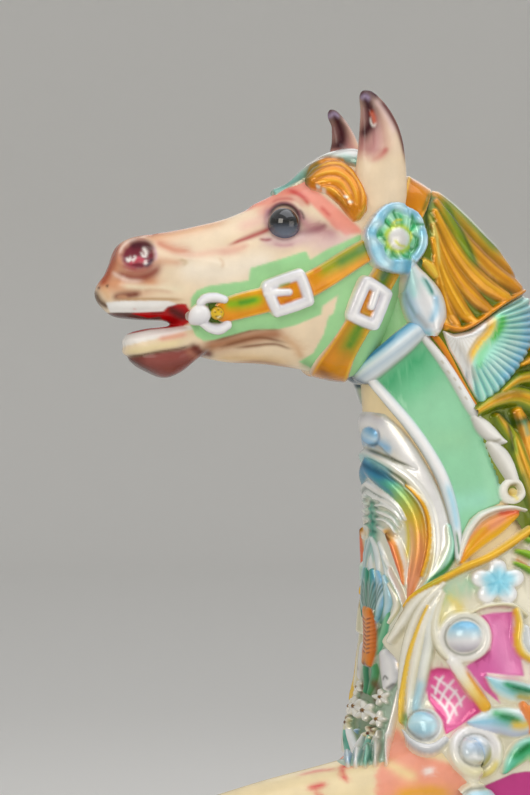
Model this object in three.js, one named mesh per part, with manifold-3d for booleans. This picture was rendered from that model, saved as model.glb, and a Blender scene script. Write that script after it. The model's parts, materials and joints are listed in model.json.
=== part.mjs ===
// One galloper of a fairground carousel: the carved horse, the twisted brass pole it hangs on, and the
// guide on the platform that the pole's steel spigot runs in. Millimetres, +Z up, the horse faces -X and
// its left side is -Y. The origin is on the pole's axis, at the underside of the floor flange.
import * as THREE from 'three';
import { mergeVertices } from 'three/addons/utils/BufferGeometryUtils.js';
import { LoftGeometry } from 'three/addons/geometries/LoftGeometry.js';
import Module from 'manifold-3d';

const wasm = await Module();
wasm.setup();

// Driving dimensions of the pole and its guide.
const FLANGE_R = 90;
const FLANGE_T = 12;
const GUIDE_R = 27;
const GUIDE_BORE_R = 21.5;
const GUIDE_TOP = 380;
const BUSH_R = 32;
const BUSH_BORE_R = 19.8;
const BUSH_T = 26;
const SPIGOT_R = 19;
const SPIGOT_FOOT = 170;
const POLE_FOOT = 540;
const POLE_TOP = 2150;
const POLE_R = 25;
const POLE_GROOVE_R = 21;
const POLE_STARTS = 4;
const POLE_PITCH = 176;
const POLE_HOLE_R = 25.6;
const HANGER_T = 16;
const HANGER_LENGTH = 130;
const HANGER_WIDTH = 84;
const COLLAR_R = 37;
const COLLAR_H = 60;
const FOOT_BAR_Z = 634;
const FOOT_BAR_REACH = 225;
const FOOT_BAR_R = 11;
const TREAD_R = 16;
const TREAD_LENGTH = 96;
const HUB_R = 36;
const HUB_H = 40;

// Clearances between neighbouring solids, and the heights that the carved trim stands off the skin.
const GAP = 0.35;
const STRAP_T = 6;
const CLOTH_T = 7;
const GROUND_T = 8;
const RIBBON_T = 9;
const FORELOCK_T = 10;
const DRAPERY_T = 11;
const BUCKLE_T = 13;
const ORNAMENT_T = 15;
const FLAP_T = 16;
const SHELL_T = 17;
const BIT_T = 18;
const TASSEL_T = 19;
const ROSETTE_T = 20;
const ROLL_T = 22;
const BOSS_T = 23;
const MANE_T = 24;

// Widths of the straps, of the ribbon's rolled end and of the bands carved on the breast collar.
const CHEEK_WIDTH = 27;
const THROAT_WIDTH = 36;
const CROWN_WIDTH = 30;
const ROLL_WIDTH = 44;
const GIRTH_WIDTH = 50;
const PLUME_WIDTH = 16;
const ROPE_WIDTH = 13;
const LOBE_WIDTH = 26;

// The trunk, from the chest to the rump: x, top, bottom and half-width of each upright slice.
const BODY_ROWS = [
  [-412, 900, 800, 42], [-396, 945, 764, 78], [-360, 998, 722, 114], [-302, 1034, 690, 142],
  [-230, 1040, 672, 156], [-130, 1015, 665, 160], [-20, 985, 668, 160], [100, 985, 680, 159],
  [210, 1008, 700, 160], [300, 1006, 718, 154], [375, 978, 748, 132], [430, 932, 790, 94],
  [457, 892, 828, 46],
];

// The neck, from the withers to the poll: z, front, back and half-width of each level slice.
const NECK_ROWS = [
  [850, -392, -70, 138], [950, -398, -82, 136], [1010, -394, -90, 130], [1060, -398, -94, 122],
  [1120, -396, -98, 110], [1180, -394, -103, 98], [1250, -400, -112, 88], [1320, -406, -128, 78],
  [1380, -410, -150, 70], [1450, -412, -180, 62], [1510, -410, -216, 56], [1560, -408, -262, 52],
  [1596, -400, -306, 46], [1618, -385, -345, 32],
];

// The skull and upper jaw, from the lip to the poll, and the lower jaw: x, top, bottom, half-width.
const HEAD_ROWS = [
  [-770, 1478, 1458, 14], [-766, 1490, 1446, 26], [-755, 1512, 1434, 38], [-738, 1527, 1430, 46],
  [-710, 1538, 1427, 50], [-680, 1545, 1423, 48], [-655, 1551, 1418, 50], [-640, 1555, 1385, 52],
  [-600, 1568, 1376, 58], [-560, 1582, 1374, 64], [-530, 1597, 1372, 68], [-500, 1616, 1368, 70],
  [-465, 1640, 1360, 70], [-430, 1654, 1356, 68], [-400, 1652, 1375, 62], [-370, 1636, 1420, 52],
];
const JAW_ROWS = [
  [-738, 1400, 1386, 12], [-730, 1411, 1378, 24], [-700, 1415, 1361, 34], [-681, 1418, 1356, 37],
  [-655, 1422, 1366, 38], [-640, 1425, 1378, 40], [-620, 1425, 1392, 38],
];

// Limbs are round in section along a path: x, z and radius at each station.
const LEFT_FORE = [
  [-310, 842, 82], [-400, 820, 64], [-470, 811, 57], [-560, 803, 48], [-640, 790, 42],
  [-694, 770, 43], [-716, 734, 38], [-700, 675, 27], [-678, 622, 25], [-666, 590, 31],
  [-674, 560, 26], [-686, 536, 31],
];
const RIGHT_FORE = [
  [-300, 822, 78], [-392, 768, 60], [-462, 734, 53], [-532, 701, 46], [-590, 668, 42],
  [-624, 634, 43], [-629, 594, 36], [-606, 540, 27], [-584, 492, 25], [-573, 462, 31],
  [-582, 432, 26], [-594, 408, 31],
];
const HIND = [
  [285, 850, 90], [275, 765, 84], [312, 698, 62], [388, 647, 44], [450, 603, 32],
  [508, 561, 28], [550, 531, 33], [576, 512, 27], [596, 494, 31],
];
const FORE_Y = 86;
const HIND_Y = 82;
const SPLAY = 16;
const HOOF_LENGTH = 48;
const HOOF_R = 40;
const FAR_EAR_TILT = [14, 12];
const EYE = [-536, 44, 1554];
const EYE_R = 21;
const HIND_HIP = [285, 850];
const RIGHT_HIND_TURN = 9;

const SKIN = 0xe9cfae;
const CORAL = 0xd98f7c;
const GOLD = 0xd9961c;
const MINT = 0x9fd9b4;
const SILVER_BLUE = 0xa9cfd6;
const WHITE = 0xe8e6e0;
const BRASS = 0xb08a4a;
const STEEL = 0x7d7f82;
const IRON = 0x3a3c40;
const CRIMSON = 0xa8294a;
const BLACK = 0x14161c;

const SIDES = [['left', -1], ['right', 1]];
const galloper = new THREE.Group();
const placed = [];

// A closed geometry as a solid, with its faces turned outwards.
function solid(geometry) {
  const bare = new THREE.BufferGeometry();
  bare.setAttribute('position', geometry.attributes.position);
  bare.setIndex(geometry.index);
  const welded = mergeVertices(bare);
  const places = welded.attributes.position.array;
  const corners = Uint32Array.from(welded.index.array);
  if (signedVolume(places, corners) < 0) {
    for (let i = 0; i < corners.length; i += 3) {
      [corners[i], corners[i + 1]] = [corners[i + 1], corners[i]];
    }
  }
  return new wasm.Manifold(new wasm.Mesh({ numProp: 3, vertProperties: places, triVerts: corners }));
}

function signedVolume(places, corners) {
  const a = new THREE.Vector3();
  const b = new THREE.Vector3();
  const c = new THREE.Vector3();
  let sum = 0;
  for (let i = 0; i < corners.length; i += 3) {
    a.fromArray(places, corners[i] * 3);
    b.fromArray(places, corners[i + 1] * 3);
    c.fromArray(places, corners[i + 2] * 3);
    sum += a.dot(b.cross(c));
  }
  return sum;
}

// The biggest of the bodies that a cut left.
function largest(shape) {
  const bodies = shape.decompose();
  bodies.sort((p, q) => q.volume() - p.volume());
  return bodies[0];
}

function join(shapes) {
  return shapes.reduce((sum, next) => sum.add(next));
}

// One named sub-part of the galloper, kept also as the room that later pieces leave free.
function piece(name, shape, colour, room = null, roughness = 0.35, metalness = 0) {
  const mesh = shape.getMesh();
  const geometry = new THREE.BufferGeometry();
  geometry.setAttribute('position', new THREE.BufferAttribute(mesh.vertProperties.slice(), 3));
  geometry.setIndex(new THREE.BufferAttribute(mesh.triVerts.slice(), 1));
  geometry.computeVertexNormals();
  const material = new THREE.MeshStandardMaterial({ color: colour, roughness, metalness });
  const node = new THREE.Mesh(geometry, material);
  node.name = name;
  galloper.add(node);
  if (room) placed.push(room);
}

// A row of closed rings as one capped solid.
function loft(rings) {
  return solid(new LoftGeometry(rings, { closed: true, capStart: true, capEnd: true }));
}

// A point of a slightly squared oval ring.
function oval(angle, power = 2.4) {
  const round = (v) => Math.sign(v) * Math.abs(v) ** (2 / power);
  return [round(Math.cos(angle)), round(Math.sin(angle))];
}

function ring(count, at) {
  return Array.from({ length: count }, (_, i) => at((i / count) * Math.PI * 2));
}

// Upright slices along X, each grown by the amount given.
function uprightLoft(rows, grow = 0, count = 16) {
  const last = rows.length - 1;
  return loft(rows.map(([x, top, bottom, half], k) => {
    const end = k === 0 ? -grow : k === last ? grow : 0;
    const middle = (top + bottom) / 2;
    const height = (top - bottom) / 2 + grow;
    return ring(count, (angle) => {
      const [c, s] = oval(angle);
      return new THREE.Vector3(x + end, c * (half + grow), middle + s * height);
    });
  }));
}

// Level slices of the neck, narrower towards the crest at the back.
function neck(grow = 0) {
  const crest = 0.42;
  const last = NECK_ROWS.length - 1;
  return loft(NECK_ROWS.map(([z, front, back, half], k) => {
    const end = k === 0 ? -grow : k === last ? grow : 0;
    const middle = (front + back) / 2;
    const depth = (back - front) / 2 + grow;
    return ring(20, (angle) => {
      const [c, s] = oval(angle, 2.2);
      const width = half * (1 - crest * Math.max(0, c) ** 1.5) + grow;
      return new THREE.Vector3(middle + c * depth, s * width, z + end);
    });
  }));
}

// Round sections square to a path of [x, y, z, radius] stations.
function limb(stations, grow = 0, count = 10) {
  const points = stations.map(([x, y, z]) => new THREE.Vector3(x, y, z));
  const across = new THREE.Vector3(0, 1, 0);
  return loft(points.map((point, k) => {
    const before = points[Math.max(0, k - 1)];
    const after = points[Math.min(points.length - 1, k + 1)];
    const along = after.clone().sub(before).normalize();
    const up = along.clone().cross(across).normalize();
    const side = up.clone().cross(along);
    const end = k === 0 ? -grow : k === points.length - 1 ? grow : 0;
    const r = stations[k][3] + grow;
    return ring(count, (angle) => point.clone().addScaledVector(along, end)
      .addScaledVector(side, r * Math.cos(angle)).addScaledVector(up, r * Math.sin(angle)));
  }));
}

// Puts a path at its side of the figure, spreading outwards along its length.
function atSide(path, y) {
  const last = path.length - 1;
  return path.map(([x, z, r], k) => [x, y + (Math.sign(y) * SPLAY * k) / last, z, r]);
}

// The right hind leg is the left one's path, swung forward about the hip.
function swungPath(path, [hipX, hipZ], degrees) {
  const turn = THREE.MathUtils.degToRad(degrees);
  return path.map(([x, z, r]) => [
    hipX + (x - hipX) * Math.cos(turn) + (z - hipZ) * Math.sin(turn),
    hipZ - (x - hipX) * Math.sin(turn) + (z - hipZ) * Math.cos(turn),
    r,
  ]);
}

// A flat outline in the XZ plane, drawn out across Y.
function prism(outline, fromY = -400, toY = 400) {
  const shape = new THREE.Shape(outline.map(([x, z]) => new THREE.Vector2(x, z)));
  const geometry = new THREE.ExtrudeGeometry(shape, { depth: toY - fromY, bevelEnabled: false });
  geometry.rotateX(Math.PI / 2);
  geometry.translate(0, toY, 0);
  return solid(geometry);
}

// An outline with every corner moved out by the amount given.
function widened(outline, by) {
  const area = outline.reduce((sum, [x, z], i) => {
    const [nx, nz] = outline[(i + 1) % outline.length];
    return sum + x * nz - nx * z;
  }, 0);
  const turn = Math.sign(area);
  return outline.map(([x, z], i) => {
    const [ax, az] = outline[(i + outline.length - 1) % outline.length];
    const [bx, bz] = outline[(i + 1) % outline.length];
    const into = new THREE.Vector2(x - ax, z - az).normalize();
    const out = new THREE.Vector2(bx - x, bz - z).normalize();
    const normal = new THREE.Vector2(into.y + out.y, -into.x - out.x).normalize().multiplyScalar(by * turn);
    return [x + normal.x, z + normal.y];
  });
}

// The outline of a strap of even width along a line of points, with some steps from point to point.
function band(line, width, fineness = 2) {
  const curve = new THREE.SplineCurve(line.map(([x, z]) => new THREE.Vector2(x, z)));
  const steps = (line.length - 1) * fineness;
  const left = [];
  const right = [];
  for (let i = 0; i <= steps; i += 1) {
    const point = curve.getPoint(i / steps);
    const along = curve.getTangent(i / steps);
    left.push([point.x - (along.y * width) / 2, point.y + (along.x * width) / 2]);
    right.unshift([point.x + (along.y * width) / 2, point.y - (along.x * width) / 2]);
  }
  return left.concat(right);
}

function disc([x, z], radius, count = 16) {
  return ring(count, (angle) => [x + radius * Math.cos(angle), z + radius * Math.sin(angle)]);
}

// A rectangle turned by an angle in degrees, with its corners cut off.
function plate([x, z], width, height, degrees) {
  const turn = THREE.MathUtils.degToRad(degrees);
  const corner = 9;
  const w = width / 2;
  const h = height / 2;
  const points = [
    [w, h - corner], [w - corner, h], [corner - w, h], [-w, h - corner],
    [-w, corner - h], [corner - w, -h], [w - corner, -h], [w, corner - h],
  ];
  return points.map(([px, pz]) => [
    x + px * Math.cos(turn) - pz * Math.sin(turn),
    z + px * Math.sin(turn) + pz * Math.cos(turn),
  ]);
}

function upright(radius, fromZ, toZ, count = 24) {
  const geometry = new THREE.CylinderGeometry(radius, radius, toZ - fromZ, count);
  geometry.rotateX(Math.PI / 2);
  geometry.translate(0, 0, (fromZ + toZ) / 2);
  return solid(geometry);
}

// The carved figure's main masses, each a function of how far it is grown.
const foreLegs = [['left', LEFT_FORE, -FORE_Y], ['right', RIGHT_FORE, FORE_Y]];
const rightHind = swungPath(HIND, HIND_HIP, RIGHT_HIND_TURN);
const hindLegs = [['left', HIND, -HIND_Y], ['right', rightHind, HIND_Y]];
const legs = [
  ...foreLegs.map(([side, path, y]) => [`${side}_foreleg`, path, y]),
  ...hindLegs.map(([side, path, y]) => [`${side}_hind_leg`, path, y]),
];
const trunk = (grow) => uprightLoft(BODY_ROWS, grow, 20);
const skull = (grow) => uprightLoft(HEAD_ROWS, grow, 18);
const jaw = (grow) => uprightLoft(JAW_ROWS, grow, 12);

const figures = new Map();
function figure(grow) {
  if (!figures.has(grow)) {
    const limbs = legs.map(([, path, y]) => limb(atSide(path, y), grow));
    figures.set(grow, join([trunk(grow), neck(grow), skull(grow), jaw(grow), ...limbs]));
  }
  return figures.get(grow);
}

// The trunk has the hole that the pole passes through.
function addFigure() {
  const poleHole = upright(POLE_HOLE_R, 400, 1300);
  piece('body', trunk(0).subtract(poleHole), SKIN);
  piece('neck', largest(neck(0).subtract(trunk(GAP))), SKIN);
  piece('head', largest(skull(0).subtract(neck(GAP))), SKIN);
  piece('lower_jaw', largest(jaw(0).subtract(skull(GAP))), SKIN);
  for (const [name, path, y] of legs) {
    const whole = limb(atSide(path, y));
    piece(name, largest(whole.subtract(trunk(GAP)).subtract(neck(GAP))), SKIN);
    addHoof(name.replace('leg', 'hoof'), path, y);
  }
}

// A hoof follows on from the last station of its leg, spreading to its flat sole.
function addHoof(name, path, rootY) {
  const [before, [x, y, z, r]] = atSide(path, rootY).slice(-2);
  const ankle = new THREE.Vector3(x, y, z);
  const along = ankle.clone().sub(new THREE.Vector3(...before)).normalize();
  const at = (distance, radius) => [...ankle.clone().addScaledVector(along, distance).toArray(), radius];
  piece(name, limb([at(GAP, r + 1), at(HOOF_LENGTH, HOOF_R)]), IRON);
}

function addEarsAndEyes() {
  const ear = [
    [-402, 42, 1598, 30], [-401, 45, 1630, 31], [-403, 48, 1660, 28], [-406, 49, 1685, 22],
    [-412, 49, 1708, 12], [-419, 48, 1726, 3],
  ];
  const earY = 46;
  const flatten = 0.62;
  const [eyeX, eyeY, eyeZ] = EYE;
  for (const [side, sign] of SIDES) {
    const [ahead, below] = side === 'right' ? FAR_EAR_TILT : [0, 0];
    const path = ear.map(([x, y, z, r]) => [x - ahead, y * sign, z - below, r]);
    const whole = limb(path, 0, 10).translate([0, -earY * sign, 0]);
    const slimmed = whole.scale([1, flatten, 1]).translate([0, earY * sign, 0]);
    piece(`${side}_ear`, largest(slimmed.subtract(skull(GAP)).subtract(neck(GAP))), SKIN, limb(path, GAP, 10));
    const ball = new THREE.SphereGeometry(EYE_R, 14, 10);
    ball.translate(eyeX, eyeY * sign, eyeZ);
    piece(`${side}_eye`, largest(solid(ball).subtract(skull(GAP))), BLACK);
  }
}

// Carved trim: outlines in the XZ plane, each standing off the figure by its own height.
function trim(name, reliefs, colour, sign = 0) {
  const fromY = sign > 0 ? 2 : -400;
  const toY = sign < 0 ? -2 : 400;
  const raised = join(reliefs.map(([outline, height]) => prism(outline, fromY, toY).intersect(figure(height))));
  const cut = placed.reduce((rest, room) => rest.subtract(room), raised.subtract(figure(GAP)));
  const room = join(reliefs.map(([outline, height]) => (
    prism(widened(outline, GAP), fromY - GAP, toY + GAP).intersect(figure(height + GAP)))));
  piece(name, largest(cut), colour, room);
}

const CHEEK_LINE = [[-624, 1441], [-579, 1449], [-519, 1471], [-465, 1496], [-424, 1524]];
const THROAT_LINE = [[-398, 1500], [-429, 1451], [-460, 1397], [-484, 1350], [-500, 1320]];
const CROWN_LINE = [[-385, 1562], [-352, 1592], [-325, 1640], [-310, 1680]];
const ROSETTE = [-393, 1535];
const ROSETTE_R = 43;
const BIT_END = [-636, 1438];
const BIT_END_R = 29;
const TASSEL = [
  [-386, 1500], [-386, 1449], [-375, 1430], [-352, 1420], [-331, 1428], [-327, 1450], [-338, 1469],
  [-358, 1500],
];

function addBridle() {
  for (const [side, sign] of SIDES) {
    trim(`${side}_rosette`, [[disc(ROSETTE, ROSETTE_R), ROSETTE_T], [TASSEL, TASSEL_T]], SILVER_BLUE, sign);
    trim(`${side}_bit_end`, [[disc(BIT_END, BIT_END_R, 12), BIT_T]], WHITE, sign);
  }
  const throatBuckle = plate([-430, 1451], 54, 54, 60);
  trim('throat_strap', [[band(THROAT_LINE, THROAT_WIDTH), STRAP_T], [throatBuckle, BUCKLE_T]], GOLD);
  trim('crown_strap', [[band(CROWN_LINE, CROWN_WIDTH), STRAP_T]], GOLD);
  const cheekBuckle = plate([-538, 1464], 62, 50, 20);
  for (const [side, sign] of SIDES) {
    const reliefs = [[band(CHEEK_LINE, CHEEK_WIDTH), STRAP_T], [cheekBuckle, BUCKLE_T]];
    trim(`${side}_cheek_strap`, reliefs, GOLD, sign);
  }
  const forelock = [
    [-512, 1640], [-507, 1603], [-494, 1590], [-470, 1577], [-449, 1560], [-436, 1552], [-428, 1572],
    [-432, 1600], [-436, 1680],
  ];
  trim('forelock', [[forelock, FORELOCK_T]], GOLD);
}

const ROLL_LINE = [[-452, 1354], [-418, 1370], [-386, 1392], [-366, 1412]];
const RIBBON = [
  [-424, 1338], [-388, 1298], [-368, 1269], [-347, 1230], [-333, 1191], [-324, 1142], [-295, 1168],
  [-267, 1180], [-240, 1181], [-251, 1216], [-279, 1259], [-300, 1294], [-321, 1333], [-342, 1365],
  [-363, 1398],
];
const SHELL = [
  [-326, 1420], [-295, 1415], [-253, 1443], [-226, 1462], [-215, 1450], [-209, 1418], [-213, 1392],
  [-232, 1366], [-253, 1342], [-271, 1330], [-286, 1366], [-306, 1392],
];
const DRAPERY = [
  [-450, 1298], [-391, 1297], [-364, 1268], [-343, 1223], [-331, 1185], [-322, 1140], [-316, 1108],
  [-332, 1078], [-372, 1050], [-450, 1010],
];
const GARLAND = [
  [-470, 1172], [-380, 1168], [-378, 1117], [-372, 1064], [-378, 1012], [-388, 960], [-392, 908],
  [-392, 876], [-470, 850],
];
const COLLAR = [
  [-460, 1016], [-379, 1062], [-337, 1112], [-318, 1128], [-311, 1159], [-267, 1190], [-213, 1188],
  [-175, 1162], [-120, 1124], [-88, 1090], [-64, 1045], [-70, 1005], [-86, 950], [-95, 894], [-112, 845],
  [-192, 825], [-305, 825], [-379, 845], [-460, 868],
];

// What is carved on the front half of the breast collar: bosses in rings, a star flower, plumes down the
// edge, a rope moulding, a bar and palmette leaves. An orange lobe lies above the rope on that half alone.
const COLLAR_MIDDLE = [-237, 938];
const COLLAR_LEAN = 0.1;
const BOSS_R = 21;
const BOSS_RING_R = 33;
const STAR_R = 24;
const BOSSES = [[-312, 1022], [-365, 910], [-307, 882]];
const STAR = [-265, 1093];
const PLUMES = [
  [[-334, 1093], [-356, 1073], [-376, 1044], [-387, 1010]],
  [[-344, 1078], [-366, 1046], [-378, 1004], [-380, 962], [-384, 926]],
  [[-333, 1078], [-343, 1058], [-344, 1036], [-339, 1011], [-329, 994]],
];
const ROPE = [[-379, 1043], [-350, 1087], [-306, 1108], [-245, 1141], [-214, 1157]];
const LOBE = [[-306, 1128], [-290, 1151], [-254, 1168], [-232, 1174]];
const BAR = [[-330, 990], [-296, 937]];
const LEAVES = [
  [[-288, 974], [-262, 964], [-237, 950]],
  [[-310, 911], [-280, 922], [-243, 920]],
  [[-300, 1050], [-268, 1061], [-233, 1053]],
  [[-246, 1056], [-247, 1022], [-240, 990]],
  [[-271, 856], [-259, 871], [-243, 887]],
];

// The same outline on the other half of the breast collar, whose middle line leans forward a little.
function mirrored(outline) {
  const [middleX, middleZ] = COLLAR_MIDDLE;
  return outline.map(([x, z]) => [2 * (middleX + (z - middleZ) * COLLAR_LEAN) - x, z]);
}

function collarReliefs() {
  const bands = [
    ...PLUMES.map((line) => band(line, PLUME_WIDTH, 1)),
    ...LEAVES.map((line) => band(line, PLUME_WIDTH, 1)),
    band(BAR, PLUME_WIDTH, 1),
    band(ROPE, ROPE_WIDTH, 1),
    disc(STAR, STAR_R, 8),
    ...BOSSES.map((centre) => disc(centre, BOSS_RING_R, 10)),
  ];
  const bosses = BOSSES.map((centre) => disc(centre, BOSS_R, 8));
  const both = (outlines) => [...outlines, ...outlines.map(mirrored)];
  return [
    [COLLAR, GROUND_T],
    [band(LOBE, LOBE_WIDTH, 1), ORNAMENT_T],
    ...both(bands).map((outline) => [outline, ORNAMENT_T]),
    ...both(bosses).map((outline) => [outline, BOSS_T]),
  ];
}

function addNeckTrim() {
  for (const [side, sign] of SIDES) {
    trim(`${side}_neck_ribbon`, [[band(ROLL_LINE, ROLL_WIDTH), ROLL_T], [RIBBON, RIBBON_T]], MINT, sign);
    trim(`${side}_shell`, [[SHELL, SHELL_T]], SILVER_BLUE, sign);
  }
  trim('chest_garland', [[GARLAND, ORNAMENT_T]], SILVER_BLUE);
  trim('neck_drapery', [[DRAPERY, DRAPERY_T]], SILVER_BLUE);
  const reliefs = collarReliefs();
  for (const [side, sign] of SIDES) {
    trim(`${side}_breast_collar`, reliefs, CRIMSON, sign);
  }
}

// The mane lies over the crest and falls down both sides of the neck.
function addMane() {
  const outline = [
    [-352, 1630], [-350, 1600], [-346, 1560], [-340, 1500], [-325, 1450], [-322, 1400], [-262, 1340],
    [-236, 1330], [-220, 1270], [-190, 1200], [-140, 1120], [-90, 1060], [-32, 1040], [-32, 1300],
    [-110, 1424], [-168, 1493], [-225, 1546], [-269, 1591], [-313, 1614],
  ];
  const raised = prism(outline).intersect(neck(MANE_T));
  const cut = placed.reduce((rest, room) => rest.subtract(room), raised.subtract(figure(GAP)));
  piece('mane', largest(cut), GOLD);
}

function addTail() {
  const path = [
    [425, 912, 16], [454, 922, 24], [492, 908, 34], [524, 876, 41], [544, 820, 46], [552, 750, 47],
    [545, 680, 42], [528, 620, 28], [512, 575, 7],
  ];
  piece('tail', largest(limb(atSide(path, 0)).subtract(trunk(GAP))), GOLD);
}

// The saddle sits on its cloth behind the pole, with a raised cantle and a flap on each side.
function addSaddle() {
  const cloth = [
    [36, 1200], [36, 900], [46, 800], [80, 768], [190, 768], [270, 782], [318, 830], [338, 900],
    [346, 1200],
  ];
  const raised = prism(cloth).intersect(figure(CLOTH_T)).subtract(figure(GAP));
  piece('saddle_cloth', largest(raised), CRIMSON);
  const seatRows = [
    [44, 1058, 940, 52], [64, 1064, 940, 74], [105, 1040, 930, 104], [155, 1028, 930, 122],
    [215, 1036, 930, 126], [268, 1078, 930, 118], [300, 1102, 940, 96], [320, 1096, 940, 60],
  ];
  const flap = [[60, 1000], [66, 880], [90, 836], [150, 828], [196, 850], [214, 920], [222, 1000]];
  const flaps = prism(flap).intersect(figure(FLAP_T));
  const seat = uprightLoft(seatRows, 0, 16).add(flaps).subtract(figure(CLOTH_T + GAP));
  piece('saddle', largest(seat), CORAL);
  const girthFront = 100;
  const girthBack = girthFront + GIRTH_WIDTH;
  const strap = [[girthFront, 764], [girthFront, 600], [girthBack, 600], [girthBack, 764]];
  const girth = prism(strap).intersect(figure(STRAP_T)).subtract(figure(GAP));
  piece('girth', largest(girth), GOLD);
}

// The twisted brass pole: a four-ridged section turning left-handed as it rises.
function addPole() {
  const steps = 64;
  const rings = Array.from({ length: steps + 1 }, (_, k) => {
    const z = POLE_FOOT + ((POLE_TOP - POLE_FOOT) * k) / steps;
    const turn = (-(z - POLE_FOOT) / (POLE_PITCH * POLE_STARTS)) * Math.PI * 2;
    return ring(POLE_STARTS * 2, (angle) => {
      const i = Math.round(angle / (Math.PI / POLE_STARTS));
      const r = i % 2 ? POLE_GROOVE_R : POLE_R;
      return new THREE.Vector3(r * Math.cos(angle + turn), r * Math.sin(angle + turn), z);
    });
  });
  piece('twisted_pole', loft(rings), BRASS, null, 0.35, 1);
  piece('steel_spigot', upright(SPIGOT_R, SPIGOT_FOOT, POLE_FOOT), STEEL, null, 0.3, 1);
}

function lathe(profile, count = 24) {
  const geometry = new THREE.LatheGeometry(profile.map(([r, z]) => new THREE.Vector2(r, z)), count);
  geometry.rotateX(Math.PI / 2);
  return solid(geometry);
}

// The hanger's collar clamps the pole's top, and its plate bolts up to the overhead crank's link.
function addHanger() {
  const top = new THREE.BoxGeometry(HANGER_LENGTH, HANGER_WIDTH, HANGER_T);
  top.translate(0, 0, POLE_TOP + HANGER_T / 2);
  const collar = upright(COLLAR_R, POLE_TOP - COLLAR_H, POLE_TOP);
  const bored = solid(top).add(collar).subtract(upright(POLE_HOLE_R, POLE_TOP - COLLAR_H - 1, POLE_TOP));
  piece('hanger_plate', bored, IRON, null, 0.5, 0.6);
}

// A foot rest on each side of the pole, below the belly, on a hub that the pole passes through.
function addFootRest() {
  const bar = new THREE.CylinderGeometry(FOOT_BAR_R, FOOT_BAR_R, FOOT_BAR_REACH * 2, 12);
  bar.translate(0, 0, FOOT_BAR_Z);
  const treads = SIDES.map(([, sign]) => {
    const tread = new THREE.CylinderGeometry(TREAD_R, TREAD_R, TREAD_LENGTH, 12);
    tread.translate(0, sign * (FOOT_BAR_REACH - TREAD_LENGTH / 2), FOOT_BAR_Z);
    return solid(tread);
  });
  const hub = upright(HUB_R, FOOT_BAR_Z - HUB_H / 2, FOOT_BAR_Z + HUB_H / 2);
  const whole = join([solid(bar), hub, ...treads]);
  const hole = upright(POLE_HOLE_R, FOOT_BAR_Z - HUB_H, FOOT_BAR_Z + HUB_H);
  piece('foot_rest_bar', whole.subtract(hole), BRASS, null, 0.4, 1);
}

// The guide stands on the platform: a flange, a tube and the bush that the spigot slides in.
function addGuide() {
  piece('floor_flange', upright(FLANGE_R, 0, FLANGE_T), IRON, null, 0.5, 0.6);
  const profile = [
    [GUIDE_BORE_R, FLANGE_T], [GUIDE_R, FLANGE_T], [GUIDE_R, GUIDE_TOP - BUSH_T],
    [BUSH_R, GUIDE_TOP - BUSH_T], [BUSH_R, GUIDE_TOP], [BUSH_BORE_R, GUIDE_TOP],
    [BUSH_BORE_R, GUIDE_TOP - BUSH_T], [GUIDE_BORE_R, GUIDE_TOP - BUSH_T], [GUIDE_BORE_R, FLANGE_T],
  ];
  piece('guide_tube', lathe(profile), STEEL, null, 0.4, 1);
}

addFigure();
addEarsAndEyes();
addBridle();
addNeckTrim();
addMane();
addTail();
addSaddle();
addPole();
addHanger();
addFootRest();
addGuide();

export default galloper;
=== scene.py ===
import json
import math

import bpy
import numpy as np
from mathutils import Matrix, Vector

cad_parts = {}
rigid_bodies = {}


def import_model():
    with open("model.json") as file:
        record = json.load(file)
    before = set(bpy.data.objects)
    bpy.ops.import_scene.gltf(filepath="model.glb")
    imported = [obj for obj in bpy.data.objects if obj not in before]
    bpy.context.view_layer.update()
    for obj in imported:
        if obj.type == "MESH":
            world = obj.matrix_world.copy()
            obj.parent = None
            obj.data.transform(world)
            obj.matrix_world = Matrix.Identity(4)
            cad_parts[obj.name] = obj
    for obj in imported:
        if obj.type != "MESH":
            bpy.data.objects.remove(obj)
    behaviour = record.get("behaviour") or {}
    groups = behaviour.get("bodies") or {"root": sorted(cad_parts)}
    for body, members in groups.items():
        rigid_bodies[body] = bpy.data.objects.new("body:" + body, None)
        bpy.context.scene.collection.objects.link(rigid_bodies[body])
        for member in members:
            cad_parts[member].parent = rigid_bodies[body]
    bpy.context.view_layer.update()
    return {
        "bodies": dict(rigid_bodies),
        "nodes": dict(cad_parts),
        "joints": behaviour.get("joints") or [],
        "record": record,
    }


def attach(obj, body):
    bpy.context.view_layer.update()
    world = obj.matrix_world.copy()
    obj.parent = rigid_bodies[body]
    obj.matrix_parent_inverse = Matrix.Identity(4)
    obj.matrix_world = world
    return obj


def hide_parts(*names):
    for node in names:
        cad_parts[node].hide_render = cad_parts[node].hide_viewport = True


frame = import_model()

# The camera stands where the photographer stood: level with the neck, a little in front of the horse's
# near side, close enough for head, neck and chest to fill the frame.
LENS_MM = 85.0
SENSOR_MM = 36.0
AZIMUTH = math.radians(-17.0)
DISTANCE = 2.45
TARGET = np.array([-0.544, 0.0, 1.330])
AHEAD = np.array([-math.sin(AZIMUTH), math.cos(AZIMUTH), 0.0])
ACROSS = np.array([math.cos(AZIMUTH), math.sin(AZIMUTH), 0.0])
EYE = TARGET - DISTANCE * AHEAD

lens = bpy.data.cameras.new("photo_camera")
lens.lens = LENS_MM
lens.sensor_width = SENSOR_MM
camera = bpy.data.objects.new("photo_camera", lens)
camera.location = Vector(EYE)
camera.rotation_mode = "QUATERNION"
camera.rotation_quaternion = Vector(AHEAD).to_track_quat("-Z", "Y")
bpy.context.scene.collection.objects.link(camera)
bpy.context.scene.camera = camera


# The studio is a round floor of pale matt paper that curves up into a wall on every side, lit as a product
# studio is: a large key light from the front left, a broad one overhead, a low fill and a dim one behind.
FLOOR_RADIUS = 12.0
CURVE_RADIUS = 3.0
WALL_HEIGHT = 10.0
WALL_SIDES = 96


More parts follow.
